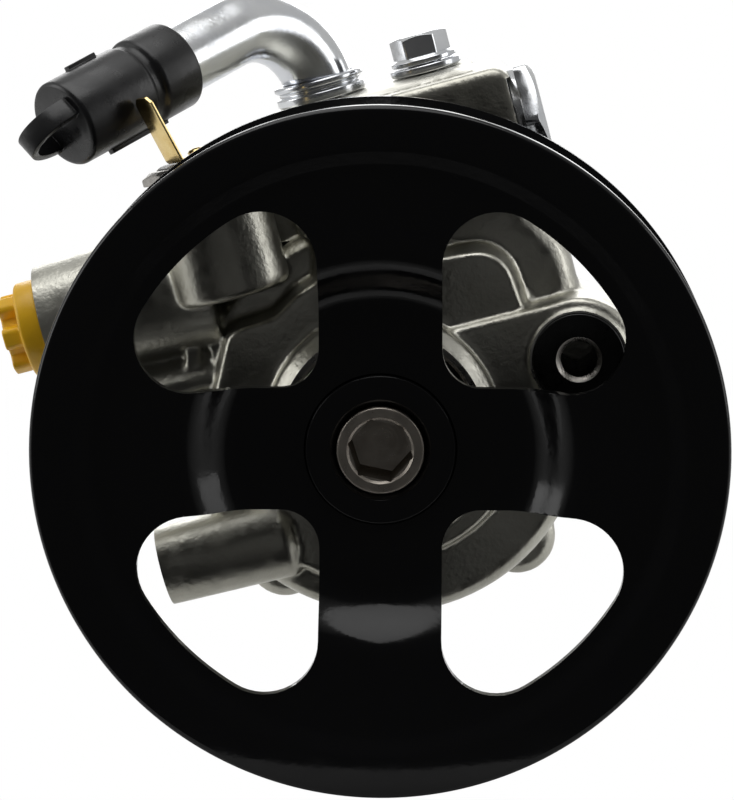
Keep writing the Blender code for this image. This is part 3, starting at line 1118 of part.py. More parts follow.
tube_start = Vector((TUBE_X, PAD_TOP - TUBE_SEAT_DEPTH + SEAT, TUBE_Z))
bend_start = Vector((TUBE_X, PAD_TOP + TUBE_RISE, TUBE_Z))
heading = Vector((-math.cos(TUBE_HEADING), 0.0, math.sin(TUBE_HEADING)))
upward = Vector((0.0, 1.0, 0.0))
bend_steps = 8
tube_path = [tube_start]
for step in range(bend_steps + 1):
    turn = TUBE_BEND_ANGLE * step / bend_steps
    bend = heading * (1 - math.cos(turn)) + upward * math.sin(turn)
    tube_path.append(bend_start + TUBE_BEND_RADIUS * bend)
tube_end_direction = heading * math.sin(TUBE_BEND_ANGLE) + upward * math.cos(TUBE_BEND_ANGLE)
tube_end = tube_path[-1] + tube_end_direction * TUBE_STRAIGHT
tube_path.append(tube_end)
place("suction_tube", swept_tube(tube_path, TUBE_RADIUS, 20, TUBE_RADIUS - TUBE_WALL), ZINC)

collar_low, collar_high = PAD_TOP + SEAT, PAD_TOP + SEAT + COLLAR_HEIGHT
collar_bore = TUBE_RADIUS + COLLAR_GAP
seal_section = O_RING_RADIUS
place("tube_collar", turned([
    (collar_bore, collar_low + 2 * seal_section),
    (COLLAR_RADIUS - 1.2 * COLLAR_STEP, collar_low + 2 * seal_section),
    (COLLAR_RADIUS - 1.2 * COLLAR_STEP, collar_low), (COLLAR_RADIUS, collar_low),
    (COLLAR_RADIUS, collar_low + 0.42 * COLLAR_HEIGHT),
    (COLLAR_RADIUS - COLLAR_STEP, collar_low + 0.52 * COLLAR_HEIGHT),
    (COLLAR_RADIUS - COLLAR_STEP, collar_low + 0.62 * COLLAR_HEIGHT),
    (COLLAR_RADIUS, collar_low + 0.72 * COLLAR_HEIGHT), (COLLAR_RADIUS, collar_high - COLLAR_STEP / 2),
    (COLLAR_RADIUS - COLLAR_STEP / 2, collar_high), (collar_bore, collar_high)], MEDIUM), ZINC,
    location=(TUBE_X, 0.0, TUBE_Z), rotation=ALONG_Y)

# Rubber cap over the tube's end, with a loop to pull it off


def facing(direction):
    """Rotation that turns local Z into a direction."""
    return direction.to_track_quat("Z", "Y").to_euler()


cap_end = CAP_END_GAP + CAP_END_WALL
cap_low = -CAP_OVERLAP
cap_bore = TUBE_RADIUS + SEAT
waist = cap_low + CAP_CUFF
cap = place("tube_cap", turned([
    (0.0, CAP_END_GAP), (cap_bore, CAP_END_GAP), (cap_bore, cap_low), (CAP_CUFF_RADIUS - CAP_EDGE, cap_low),
    (CAP_CUFF_RADIUS, cap_low + CAP_EDGE), (CAP_CUFF_RADIUS, waist - CAP_EDGE),
    (CAP_WAIST_RADIUS, waist + CAP_EDGE),
    (CAP_WAIST_RADIUS, waist + CAP_WAIST - CAP_EDGE), (CAP_RADIUS, waist + CAP_WAIST + CAP_EDGE),
    (CAP_RADIUS, cap_end - CAP_EDGE), (CAP_RADIUS - CAP_EDGE, cap_end), (0.0, cap_end)],
    MEDIUM, closed=False), RUBBER,
    location=tube_end, rotation=facing(tube_end_direction))


def half_ring(width, reach, steps):
    """Half an ellipse from its right end to its left end."""
    return [(width / 2 * math.cos(turn), reach * math.sin(turn))
            for turn in (math.pi * k / steps for k in range(steps + 1))]


tab_base = cap_end - TAB_SHEET / 4
tab_outline = half_ring(TAB_WIDTH, TAB_REACH, 10)
tab_outline += half_ring(TAB_WIDTH - 2 * TAB_SHEET, TAB_REACH - TAB_SHEET, 10)[::-1]
tab = helper("tab", prism([(a, b + tab_base) for a, b in tab_outline], -TAB_STRAP / 2, TAB_STRAP / 2),
             rotation=(math.pi / 2, 0.0, TAB_TURN))
ridges = []
for side, length in ((-1, CAP_SHORT_RIDGE), (1, CAP_LONG_RIDGE)):
    inner, outer = side * (CAP_RADIUS - CAP_RIDGE_HEIGHT), side * (CAP_RADIUS + CAP_RIDGE_HEIGHT)
    outline = rounded([(inner, -CAP_RIDGE_WIDTH / 2, 0.0), (outer, -CAP_RIDGE_WIDTH / 2, 0.0),
                       (outer, CAP_RIDGE_WIDTH / 2, 0.0), (inner, CAP_RIDGE_WIDTH / 2, 0.0)])
    ridge_high = cap_end - CAP_RIDGE_START
    ridges.append(helper(f"ridge_{side}", prism(outline, ridge_high - length, ridge_high)))
for item in [tab] + ridges:
    item.parent = cap
combine(cap, [tab] + ridges, "UNION")

# Oilway bolt and its washer on the same pad

washer_low = PAD_TOP + SEAT
place("oilway_washer", turned([
    (OILWAY_RADIUS + FIT, washer_low), (WASHER_RADIUS, washer_low),
    (WASHER_RADIUS, washer_low + WASHER_HEIGHT),
    (OILWAY_RADIUS + FIT, washer_low + WASHER_HEIGHT)], 24), ZINC,
    location=(OILWAY_X, 0.0, TUBE_Z), rotation=ALONG_Y)
oilway_seat = washer_low + WASHER_HEIGHT + SEAT
body, hexagon = flange_bolt(OILWAY_FLATS, OILWAY_HEAD, OILWAY_FLANGE_RADIUS, OILWAY_FLANGE_HEIGHT,
                            OILWAY_RADIUS, oilway_seat - PAD_TOP + OILWAY_LENGTH - SEAT, 24)
oilway = place("oilway_bolt", body, ZINC, location=(OILWAY_X, oilway_seat, TUBE_Z), rotation=ALONG_Y)
oilway_head = helper("oilway_head", hexagon, location=(OILWAY_X, oilway_seat, TUBE_Z), rotation=ALONG_Y)
combine(oilway, [oilway_head], "UNION")

# Pressure switch: steel body, insulator, brass spade held by a rivet, and a sprung piston below

switch_low = SWITCH_SEAT + SEAT
switch_top = switch_low + SWITCH_HEX_HEIGHT
chamber_top = switch_top - INSULATOR_SINK
chamber_low = chamber_top - PISTON_HEAD_RADIUS
piston_chamber = PISTON_HEAD_RADIUS + SEAT
thread_low = SWITCH_SEAT - SWITCH_THREAD_LENGTH
switch = place("switch_body", turned([
    (0.0, thread_low), (SWITCH_THREAD_RADIUS, thread_low), (SWITCH_THREAD_RADIUS, switch_top - SEAT),
    (0.0, switch_top - SEAT)], MEDIUM, closed=False), ZINC,
    location=(SWITCH_X, 0.0, SWITCH_Z), rotation=ALONG_Y)
switch_hexagon = helper("switch_hexagon", hexagon_head(SWITCH_FLATS, switch_low, switch_top),
                        location=(SWITCH_X, 0.0, SWITCH_Z), rotation=ALONG_Y)
switch_inside = helper("switch_inside", turned([
    (0.0, thread_low - SEAT), (PISTON_RADIUS + FIT, thread_low - SEAT), (PISTON_RADIUS + FIT, chamber_low),
    (piston_chamber, chamber_low), (piston_chamber, chamber_top), (INSULATOR_RADIUS + SEAT, chamber_top),
    (INSULATOR_RADIUS + SEAT, switch_top + SEAT), (0.0, switch_top + SEAT)], MEDIUM, closed=False),
    location=(SWITCH_X, 0.0, SWITCH_Z), rotation=ALONG_Y)
combine(switch, [switch_hexagon], "UNION")
combine(switch, [switch_inside], "DIFFERENCE")
insulator_low = chamber_top + SEAT
insulator_top = insulator_low + INSULATOR_HEIGHT
place("switch_insulator", turned([
    (RIVET_RADIUS / 2 + FIT, insulator_low), (INSULATOR_RADIUS, insulator_low),
    (INSULATOR_RADIUS, insulator_top - SEAT), (INSULATOR_RADIUS - SEAT, insulator_top),
    (RIVET_RADIUS / 2 + FIT, insulator_top)], MEDIUM), GREY_PLASTIC,
    location=(SWITCH_X, 0.0, SWITCH_Z), rotation=ALONG_Y)
terminal_low = insulator_top + SEAT
foot = rounded([(TERMINAL_FOOT, -TERMINAL_WIDTH / 2, TERMINAL_SHEET),
                (TERMINAL_FOOT, TERMINAL_WIDTH / 2, TERMINAL_SHEET),
                (-TERMINAL_REACH, TERMINAL_WIDTH / 2, 0.0), (-TERMINAL_REACH, -TERMINAL_WIDTH / 2, 0.0)], 3)
blade = rounded([(0.0, -TERMINAL_WIDTH / 2, 0.0),
                 (TERMINAL_HEIGHT - TERMINAL_SHEET, -TERMINAL_WIDTH / 2, 0.0),
                 (TERMINAL_HEIGHT, -TERMINAL_WIDTH / 2 + 2 * TERMINAL_SHEET, 0.0),
                 (TERMINAL_HEIGHT, TERMINAL_WIDTH / 2 - 2 * TERMINAL_SHEET, 0.0),
                 (TERMINAL_HEIGHT - TERMINAL_SHEET, TERMINAL_WIDTH / 2, 0.0),
                 (0.0, TERMINAL_WIDTH / 2, 0.0)])
strip = (-math.pi / 2, TERMINAL_TURN, 0.0)
terminal = place("switch_terminal", prism(foot, terminal_low, terminal_low + TERMINAL_SHEET), BRASS,
                 location=(SWITCH_X, 0.0, SWITCH_Z), rotation=strip)
terminal_blade = helper("terminal_blade", prism(blade, -TERMINAL_SHEET / 2, TERMINAL_SHEET / 2))
terminal_blade.parent = terminal
terminal_blade.location = (-TERMINAL_REACH + TERMINAL_SHEET / 2, 0.0, terminal_low + TERMINAL_SHEET / 4)
terminal_blade.rotation_euler = (0.0, -math.pi / 2 - TERMINAL_LEAN, 0.0)
rivet_hole = helper("rivet_hole", rod(RIVET_RADIUS / 2 + FIT, terminal_low - SEAT,
                                      terminal_low + TERMINAL_SHEET + SEAT, 12),
                    location=(SWITCH_X, 0.0, SWITCH_Z), rotation=ALONG_Y)
combine(terminal, [terminal_blade], "UNION")
combine(terminal, [rivet_hole], "DIFFERENCE")
rivet_seat = terminal_low + TERMINAL_SHEET + FIT
place("terminal_rivet", turned([
    (0.0, insulator_low - SEAT), (RIVET_RADIUS / 2, insulator_low - SEAT), (RIVET_RADIUS / 2, rivet_seat),
    (RIVET_RADIUS, rivet_seat), (0.8 * RIVET_RADIUS, rivet_seat + 0.7 * RIVET_HEIGHT),
    (0.4 * RIVET_RADIUS, rivet_seat + RIVET_HEIGHT), (0.0, rivet_seat + RIVET_HEIGHT)], 16, closed=False),
    BRASS,
    location=(SWITCH_X, 0.0, SWITCH_Z), rotation=ALONG_Y)
piston_low = chamber_low + FIT
place("switch_piston", turned([
    (0.0, piston_low - PISTON_LENGTH), (PISTON_RADIUS, piston_low - PISTON_LENGTH),
    (PISTON_RADIUS, piston_low),
    (PISTON_HEAD_RADIUS, piston_low), (PISTON_HEAD_RADIUS, piston_low + PISTON_HEAD),
    (0.0, piston_low + PISTON_HEAD)],
    COARSE, closed=False), STEEL, location=(SWITCH_X, 0.0, SWITCH_Z), rotation=ALONG_Y)
switch_spring_low = piston_low + PISTON_HEAD + FIT
place("switch_spring", coil(PISTON_HEAD_RADIUS - SWITCH_SPRING_WIRE, SWITCH_SPRING_WIRE, 2,
                            insulator_low - FIT - switch_spring_low), STEEL,
      location=(SWITCH_X, switch_spring_low, SWITCH_Z), rotation=ALONG_Y)

# Plastic plug in the outlet port


def lobed(outer, waist, count):
    """An outline with rounded lobes."""
    pitch = 2 * math.pi / count
    corners = []
    for k in range(count):
        for radius, offset, fillet in ((waist, -0.36, 0.5), (outer, -0.25, 1.2), (outer, 0.25, 1.2),
                                       (waist, 0.36, 0.5)):
            turn = (k + offset) * pitch
            corners.append((radius * math.cos(turn), radius * math.sin(turn), fillet * MM))
    return rounded(corners, 2)


flange_low = -PORT_END + SEAT
flange_high = flange_low + PLUG_FLANGE
stem_radius = PORT_BORE_RADIUS - SEAT
port_plug = place("port_plug", turned([
    (0.0, flange_low), (stem_radius - PLUG_STEM_WALL, flange_low),
    (stem_radius - PLUG_STEM_WALL, flange_low - PLUG_STEM_LENGTH),
    (stem_radius - SEAT, flange_low - PLUG_STEM_LENGTH),
    (stem_radius, flange_low - PLUG_STEM_LENGTH + SEAT),
    (stem_radius, flange_low), (PLUG_FLANGE_RADIUS, flange_low),
    (PLUG_FLANGE_RADIUS, flange_high - 2 * SEAT),
    (PLUG_FLANGE_RADIUS - 2 * SEAT, flange_high), (0.0, flange_high)], MEDIUM, closed=False), YELLOW,
    location=(0.0, PORT_Y, PORT_Z), rotation=ALONG_MINUS_X)
knob = helper("port_plug_knob",
              prism(lobed(PLUG_KNOB_RADIUS, PLUG_KNOB_WAIST, PLUG_LOBES), flange_high - 2 * SEAT,
                                      flange_high + PLUG_KNOB_HEIGHT),
              location=(0.0, PORT_Y, PORT_Z), rotation=ALONG_MINUS_X)
combine(port_plug, [knob], "UNION")

# O-ring round the tube, in the recess under the collar

place("suction_seal", ring_seal(TUBE_RADIUS + FIT + seal_section / 2, seal_section / 2,
                                collar_low + seal_section, MEDIUM), RUBBER,
      location=(TUBE_X, 0.0, TUBE_Z), rotation=ALONG_Y)
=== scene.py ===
"""Looks of the power steering pump: smooth visible pieces and their finishes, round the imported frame.

Lengths are millimetres until a piece is made, and metres after that. Two frames place the pieces,
as in the part: the shaft frame has its Z along the shaft towards the pulley, and the casting frame
is the same frame turned with the cast body about the shaft.
"""
import json
import math

import bmesh
import bpy
from mathutils import Matrix, Vector


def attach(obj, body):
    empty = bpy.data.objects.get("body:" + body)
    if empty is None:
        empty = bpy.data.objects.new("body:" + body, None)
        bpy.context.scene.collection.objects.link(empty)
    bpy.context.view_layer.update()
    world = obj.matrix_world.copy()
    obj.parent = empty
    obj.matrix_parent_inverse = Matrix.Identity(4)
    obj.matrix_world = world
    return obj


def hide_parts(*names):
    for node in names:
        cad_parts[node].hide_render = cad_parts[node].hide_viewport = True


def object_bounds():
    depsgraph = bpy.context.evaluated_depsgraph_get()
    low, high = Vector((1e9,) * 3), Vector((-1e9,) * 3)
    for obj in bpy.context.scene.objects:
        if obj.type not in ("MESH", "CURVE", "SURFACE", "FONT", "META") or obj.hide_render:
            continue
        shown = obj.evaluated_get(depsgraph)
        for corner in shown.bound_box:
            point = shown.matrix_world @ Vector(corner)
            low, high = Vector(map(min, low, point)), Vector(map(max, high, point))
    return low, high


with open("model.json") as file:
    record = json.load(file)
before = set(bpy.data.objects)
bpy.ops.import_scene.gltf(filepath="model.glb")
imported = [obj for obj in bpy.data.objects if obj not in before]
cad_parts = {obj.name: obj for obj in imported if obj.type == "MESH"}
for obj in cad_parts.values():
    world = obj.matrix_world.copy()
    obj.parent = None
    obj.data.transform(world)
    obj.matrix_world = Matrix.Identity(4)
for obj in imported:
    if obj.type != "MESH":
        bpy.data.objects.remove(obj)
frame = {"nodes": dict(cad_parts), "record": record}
cad_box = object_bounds()

MM = 0.001
TAU = 2 * math.pi
BODY_TILT = math.radians(15.0)
SHAFT = Matrix.Rotation(math.pi / 2, 4, "X")
CASTING = Matrix.Rotation(-BODY_TILT, 4, "Y") @ SHAFT
ALONG_Z = Matrix.Identity(4)
ALONG_X = Matrix.Rotation(math.pi / 2, 4, "Y")
ALONG_MINUS_X = Matrix.Rotation(-math.pi / 2, 4, "Y")
ALONG_Y = Matrix.Rotation(-math.pi / 2, 4, "X")
TURNED_OVER = Matrix.Rotation(math.pi, 4, "X")

# Facets of the smooth pieces
ROUND = 96
RIM_ROUND = 256
SMALL_ROUND = 48
VOXEL = 0.62

# Stations along the shaft
COVER_FRONT = 11.7
HOUSING_REAR = 12.0
CAVITY_FLOOR = 36.6
SEAL_REAR = 40.6
BEARING_REAR = 49.1
SNAP_REAR = 61.7
NOSE_FRONT = 64.6
HUB_REAR = 65.8
HUB_FRONT = 88.2
PLATE_FACE = 87.0
RIM_FRONT = 98.0
SHAFT_TIP = 89.1

# Pulley
PULLEY_RADIUS = 75.0
PULLEY_WIDTH = 28.5
SHEET = 2.6
RIM_FACE_RADIUS = 65.8
CREASE_WIDTH = 3.8
WEB_DEPTH = 2.2
CONE_OUTER_RADIUS = 44.5
CONE_INNER_RADIUS = 30.5
GROOVE_COUNT = 6
GROOVE_PITCH = 3.56
GROOVE_DEPTH = 2.9
LIP_HEIGHT = 1.6
RIM_WALL = 2.2
FRONT_LIP = 3.2
HALF_SPOKE = 13.3
WINDOW_RADIUS = 59.5
WINDOW_OUTER_FILLET = 11.8
WINDOW_INNER_FILLET = 8.5

# Hub and shaft nose
HUB_SPIGOT_RADIUS = 16.3
HUB_FLANGE_RADIUS = 20.0
HUB_BARREL_RADIUS = 14.5
SHAFT_NOSE_RADIUS = 9.55
SOCKET_FLATS = 12.4
SOCKET_FLOOR = 75.1
SOCKET_TURN = math.radians(-12.0)

# Bores of the casting, for the bearing and its snap ring
BEARING_BORE = 21.15
SNAP_BORE = 22.45

# Casting
BODY_RADIUS = 45.5
DECK_LOW = 48.0
DECK = 56.0
DECK_RADIUS = 29.5
CAST_EDGE = 2.0
NOSE_RADIUS = 24.8
BUSH_RADIUS = 10.3
BUSH_FRONT = 60.0
EAR = (46.0, 4.0)
EAR_RADIUS = 13.6
EAR_REAR = 26.0
EAR_FRONT = 59.4
BLOCK_LEFT = -8.0
BLOCK_RIGHT = 46.0
BLOCK_LOW = 44.0
BLOCK_TOP = 71.0
VALVE_Y = 57.5
VALVE_Z = 39.0
BLOCK_HALF_DEPTH = 15.0
PAD_TOP = 71.3
SWITCH = (-24.4, 54.0)
SWITCH_SEAT = 65.0
PORT_Y = 39.7
PORT_Z = 41.0
PORT_END = -68.9
BOSS_Y = -19.4
BOSS_Z = 50.0
BOSS_END = -57.0
BOLT_CIRCLE = 42.0
BOLT_ANGLES = [math.radians(a) for a in (-139.0, -59.0, 41.0, 121.0)]
BOLT_SPOTS = [(BOLT_CIRCLE * math.cos(a), BOLT_CIRCLE * math.sin(a)) for a in BOLT_ANGLES]
FLANGE_REAR = 7.2

# Tube, collar and cap
TUBE_X = 3.2
TUBE_Z = 10.5
TUBE_RADIUS = 8.0
TUBE_WALL = 1.25
TUBE_RISE = 2.6
TUBE_BEND_RADIUS = 18.5
TUBE_BEND_ANGLE = math.radians(99.5)
TUBE_HEADING = math.radians(41.8)
TUBE_STRAIGHT = 47.4
OILWAY_X = 28.2


# Surface finishes

def finish(name, colour, roughness, metallic=0.0):
    material = bpy.data.materials.new(name)
    material.use_nodes = True
    shader = material.node_tree.nodes["Principled BSDF"]
    shader.inputs["Base Color"].default_value = (*colour, 1.0)
    shader.inputs["Roughness"].default_value = roughness
    shader.inputs["Metallic"].default_value = metallic
    return material


def add(material, kind, **settings):
    node = material.node_tree.nodes.new(kind)
    for key, value in settings.items():
        setattr(node, key, value)
    return node


def link(material, start, end):
    material.node_tree.links.new(start, end)


def noise(material, scale, detail=3.0, stretch=(1.0, 1.0, 1.0)):
    """Noise over the object's own coordinates, in cycles a metre."""
    place = add(material, "ShaderNodeTexCoord")
    mapping = add(material, "ShaderNodeMapping")
    mapping.inputs["Scale"].default_value = stretch
    texture = add(material, "ShaderNodeTexNoise")
    texture.inputs["Scale"].default_value = scale
    texture.inputs["Detail"].default_value = detail
    link(material, place.outputs["Object"], mapping.inputs["Vector"])
    link(material, mapping.outputs["Vector"], texture.inputs["Vector"])
    return texture.outputs["Fac"]


def lathe(material, pitch):
    """Fine rings round the shaft, one for each pitch in metres, a little uneven."""
    place = add(material, "ShaderNodeTexCoord")
    wave = add(material, "ShaderNodeTexWave", wave_type="RINGS", rings_direction="Y")
    wave.inputs["Scale"].default_value = TAU / pitch / 20
    wave.inputs["Distortion"].default_value = 1.5
    wave.inputs["Detail"].default_value = 2.0
    wave.inputs["Detail Scale"].default_value = 0.2
    link(material, place.outputs["Object"], wave.inputs["Vector"])
    return wave.outputs["Fac"]


def spread(material, source, low, high, start=0.35, end=0.65):
    """A value from low to high as the source goes from start to end."""
    change = add(material, "ShaderNodeMapRange")
    change.inputs["From Min"].default_value = start
    change.inputs["From Max"].default_value = end
    change.inputs["To Min"].default_value = low
    change.inputs["To Max"].default_value = high
    link(material, source, change.inputs["Value"])
    return change.outputs["Result"]


def tint(material, share, first, second):
    """Base colour between two colours, by a share."""
    mix = add(material, "ShaderNodeMix", data_type="RGBA")
    mix.inputs[6].default_value = (*first, 1.0)
    mix.inputs[7].default_value = (*second, 1.0)
    link(material, share, mix.inputs[0])
    shader = material.node_tree.nodes["Principled BSDF"]
    link(material, mix.outputs[2], shader.inputs["Base Color"])


def roughen(material, share):
    link(material, share, material.node_tree.nodes["Principled BSDF"].inputs["Roughness"])


def relief(material, *layers):
    """Bump from layers of (height, strength, depth in metres)."""
    below = None
    for height, strength, depth in layers:
        bump = add(material, "ShaderNodeBump")
        bump.inputs["Strength"].default_value = strength
        bump.inputs["Distance"].default_value = depth
        link(material, height, bump.inputs["Height"])
        if below:
            link(material, below, bump.inputs["Normal"])
        below = bump.outputs["Normal"]
    link(material, below, material.node_tree.nodes["Principled BSDF"].inputs["Normal"])


def gloss_coat():
    material = finish("gloss_coat", (0.004, 0.004, 0.0045), 0.1)
    material.node_tree.nodes["Principled BSDF"].inputs["Specular IOR Level"].default_value = 0.32
    roughen(material, spread(material, noise(material, 90.0), 0.07, 0.16))
    relief(material, (noise(material, 700.0, 2.0), 0.10, 0.0002),
           (noise(material, 60.0, 2.0), 0.10, 0.0012))
    return material


def cast_metal():
    material = finish("cast_metal", (0.50, 0.49, 0.43), 0.38, 1.0)
    tint(material, spread(material, noise(material, 45.0, 6.0), 0.0, 1.0), (0.46, 0.45, 0.39),
         (0.58, 0.57, 0.51))
    roughen(material, spread(material, noise(material, 260.0, 5.0), 0.30, 0.42))
    relief(material, (noise(material, 900.0, 2.0), 0.35, 0.0003),
           (noise(material, 330.0, 3.0), 0.2, 0.0004))
    return material


def machined_metal():
    material = finish("machined_metal", (0.62, 0.61, 0.58), 0.3, 1.0)
    roughen(material, spread(material, noise(material, 400.0, 4.0), 0.24, 0.36))
    relief(material, (lathe(material, 0.0005), 0.12, 0.00008), (noise(material, 1200.0), 0.1, 0.0001))
    return material


def turned_steel(name, colour, roughness, pitch=0.0005):
    material = finish(name, colour, roughness, 1.0)
    tint(material, spread(material, noise(material, 160.0, 5.0), 0.0, 1.0), tuple(0.82 * c for c in colour),
         colour)
    roughen(material, spread(material, noise(material, 500.0, 4.0), 0.8 * roughness, 1.25 * roughness))
    relief(material, (lathe(material, pitch), 0.15, 0.0001), (noise(material, 900.0), 0.08, 0.0001))
    return material


def zinc():
    material = finish("zinc", (0.74, 0.76, 0.79), 0.16, 1.0)
    tint(material, spread(material, noise(material, 60.0, 4.0), 0.0, 1.0), (0.68, 0.70, 0.74),
         (0.80, 0.81, 0.82))
    roughen(material, spread(material, noise(material, 220.0, 5.0), 0.12, 0.26))
    relief(material, (noise(material, 800.0, 3.0), 0.12, 0.00015),
           (noise(material, 110.0, 2.0), 0.08, 0.0006))
    return material


def brass_sheet():
    material = finish("brass_sheet", (0.86, 0.66, 0.30), 0.22, 1.0)
    tint(material, spread(material, noise(material, 200.0, 4.0), 0.0, 1.0), (0.78, 0.57, 0.23),
         (0.90, 0.72, 0.36))
    relief(material, (noise(material, 900.0, 3.0, (1.0, 1.0, 0.1)), 0.15, 0.0001))
    return material


def moulded(name, colour, low, high, grain=1400.0):
    material = finish(name, colour, 0.5 * (low + high))
    tint(material, spread(material, noise(material, 70.0, 4.0), 0.0, 1.0), tuple(0.88 * c for c in colour),
         colour)
    roughen(material, spread(material, noise(material, 150.0, 4.0), low, high))
    relief(material, (noise(material, grain, 3.0), 0.18, 0.00012),
           (noise(material, 80.0, 2.0), 0.15, 0.0008))
    return material


GLOSS = gloss_coat()
CAST = cast_metal()
MACHINED = machined_metal()
ZINC = zinc()
STEEL = turned_steel("steel", (0.42, 0.40, 0.37), 0.3)
NOSE_STEEL = turned_steel("nose_steel", (0.44, 0.40, 0.35), 0.34, 0.0009)
DARK_STEEL = turned_steel("dark_steel", (0.045, 0.045, 0.045), 0.32)
BRASS = brass_sheet()
BRONZE = turned_steel("bronze", (0.55, 0.36, 0.20), 0.4)
RUBBER = moulded("rubber", (0.010, 0.010, 0.011), 0.22, 0.42)
YELLOW = moulded("yellow_plastic", (1.0, 0.56, 0.012), 0.28, 0.40)
GREY_PLASTIC = moulded("grey_plastic", (0.30, 0.30, 0.29), 0.4, 0.55)

FINISHES = {
    "black_coat": GLOSS, "steel": STEEL, "dark_steel": DARK_STEEL, "zinc_plate": ZINC,
    "cast_aluminium": CAST, "brass": BRASS, "bronze": BRONZE, "rubber": RUBBER,
    "yellow_plastic": YELLOW, "grey_plastic": GREY_PLASTIC}


# Shapes

def arc(centre, radius, start, end, steps):
    angles = [start + (end - start) * i / steps for i in range(steps + 1)]
    return [(centre[0] + radius * math.cos(t), centre[1] + radius * math.sin(t)) for t in angles]


def circle(radius, steps, centre=(0.0, 0.0)):
    return arc(centre, radius, 0.0, TAU, steps)[:-1]


def fillet(before, corner, after, radius, steps):
    """Points that round one corner of a line."""
    here = Vector(corner)
    back = (Vector(before) - here)
    ahead = (Vector(after) - here)
    half = back.angle(ahead) / 2
    radius = min(radius, 0.49 * min(back.length, ahead.length) * math.tan(half))
    if radius <= 1e-6 or half > math.radians(89.0):
        return [tuple(corner)]
    middle = here + (back.normalized() + ahead.normalized()).normalized() * radius / math.sin(half)
    first = here + back.normalized() * radius / math.tan(half) - middle
    last = here + ahead.normalized() * radius / math.tan(half) - middle
    sweep = math.atan2(first.x * last.y - first.y * last.x, first.dot(last))
    start = math.atan2(first.y, first.x)
    return arc(middle, radius, start, start + sweep, steps)


def rounded(corners, steps=6):
    """Closed outline through corners (a, b, fillet radius)."""
    points = []
    for index, (a, b, radius) in enumerate(corners):
        before = corners[index - 1][:2]
        after = corners[(index + 1) % len(corners)][:2]
        points += fillet(before, (a, b), after, radius, steps)
    return points


def softened(profile, radius, steps=3):
    """An open run of points with each inner corner rounded; a point may give its own radius."""
    points = [tuple(profile[0][:2])]
    for before, corner, after in zip(profile, profile[1:], profile[2:]):
        own = corner[2] if len(corner) > 2 else radius
        points += fillet(before[:2], corner[:2], after[:2], own, steps)
    points.append(tuple(profile[-1][:2]))
    return points


def shifted(outline, distance):
    """A closed counter-clockwise outline moved inward by a distance."""
    moved = []
    for index, point in enumerate(outline):
        here = Vector(point)
        back = (here - Vector(outline[index - 1])).normalized()
        ahead = (Vector(outline[(index + 1) % len(outline)]) - here).normalized()
        inward = Vector((-back.y - ahead.y, back.x + ahead.x)).normalized()
        lean = max(0.5, inward.dot(Vector((-ahead.y, ahead.x))))
        moved.append(tuple(here + inward * distance / lean))
    return moved


def turned(profile, steps=ROUND, closed=False):
    """Solid of revolution about Z from (radius, height) points; an open one ends on the axis."""
    bm = bmesh.new()
    points = [bm.verts.new((point[0], 0.0, point[1])) for point in profile]
    ends = points[1:] + points[:1] if closed else points[1:]
    lines = [bm.edges.new(pair) for pair in zip(points, ends)]
    bmesh.ops.spin(bm, geom=points + lines, cent=(0, 0, 0), axis=(0, 0, 1), angle=TAU, steps=steps,
                   use_merge=True)
    bmesh.ops.remove_doubles(bm, verts=bm.verts, dist=0.001)
    poles = [vert for vert in bm.verts if vert.co.xy.length < 0.001]
    bmesh.ops.dissolve_verts(bm, verts=poles)
    return bm


def loft(rings):
    bm = bmesh.new()
    rows = [[bm.verts.new(point) for point in ring] for ring in rings]
    for low, high in zip(rows, rows[1:]):
        for index in range(len(low)):
            after = (index + 1) % len(low)
            bm.faces.new((low[index], low[after], high[after], high[index]))
    bm.faces.new(list(reversed(rows[0])))
    bm.faces.new(rows[-1])
    return bm


def prism(outline, low, high):
    return loft([[(a, b, height) for a, b in outline] for height in (low, high)])


def rod(radius, low, high, steps=SMALL_ROUND):
    return turned([(0.0, low), (radius, low), (radius, high), (0.0, high)], steps)


def cast_boss(outline, low, high, slope=0.0, edge=CAST_EDGE):
    """A boss whose top is the outline, with a rounded edge and sides that slope outward."""
    rings = [[(a, b, low) for a, b in shifted(outline, -slope - edge)]]
    for step in range(5):
        turn = step * math.pi / 8
        inset = shifted(outline, -edge * math.cos(turn)) if step < 4 else outline
        rings.append([(a, b, high - edge * (1 - math.sin(turn))) for a, b in inset])
    return loft(rings)


def hexagon_head(flats, low, high, crown_share=0.47, points=144, rings=5):
    """A hexagonal head whose corners are turned down to a cone."""
    crown = crown_share * flats
    rows = [[], []] + [[] for _ in range(rings)]
    for k in range(points):
        turn = TAU * k / points
        radius = flats / 2 / math.cos(turn % (math.pi / 3) - math.pi / 6)
        radius = min(radius, 0.565 * flats)
        drop = math.tan(math.radians(30))
        shoulder = high - (radius - crown) * drop
        heights = [(radius, low), (radius, shoulder)]
        for step in range(1, rings + 1):
            reach = radius + (crown - radius) * step / rings
            heights.append((reach, high - (reach - crown) * drop))
        for row, (reach, height) in zip(rows, heights):
            row.append((reach * math.cos(turn), reach * math.sin(turn), height))
    return loft(rows)


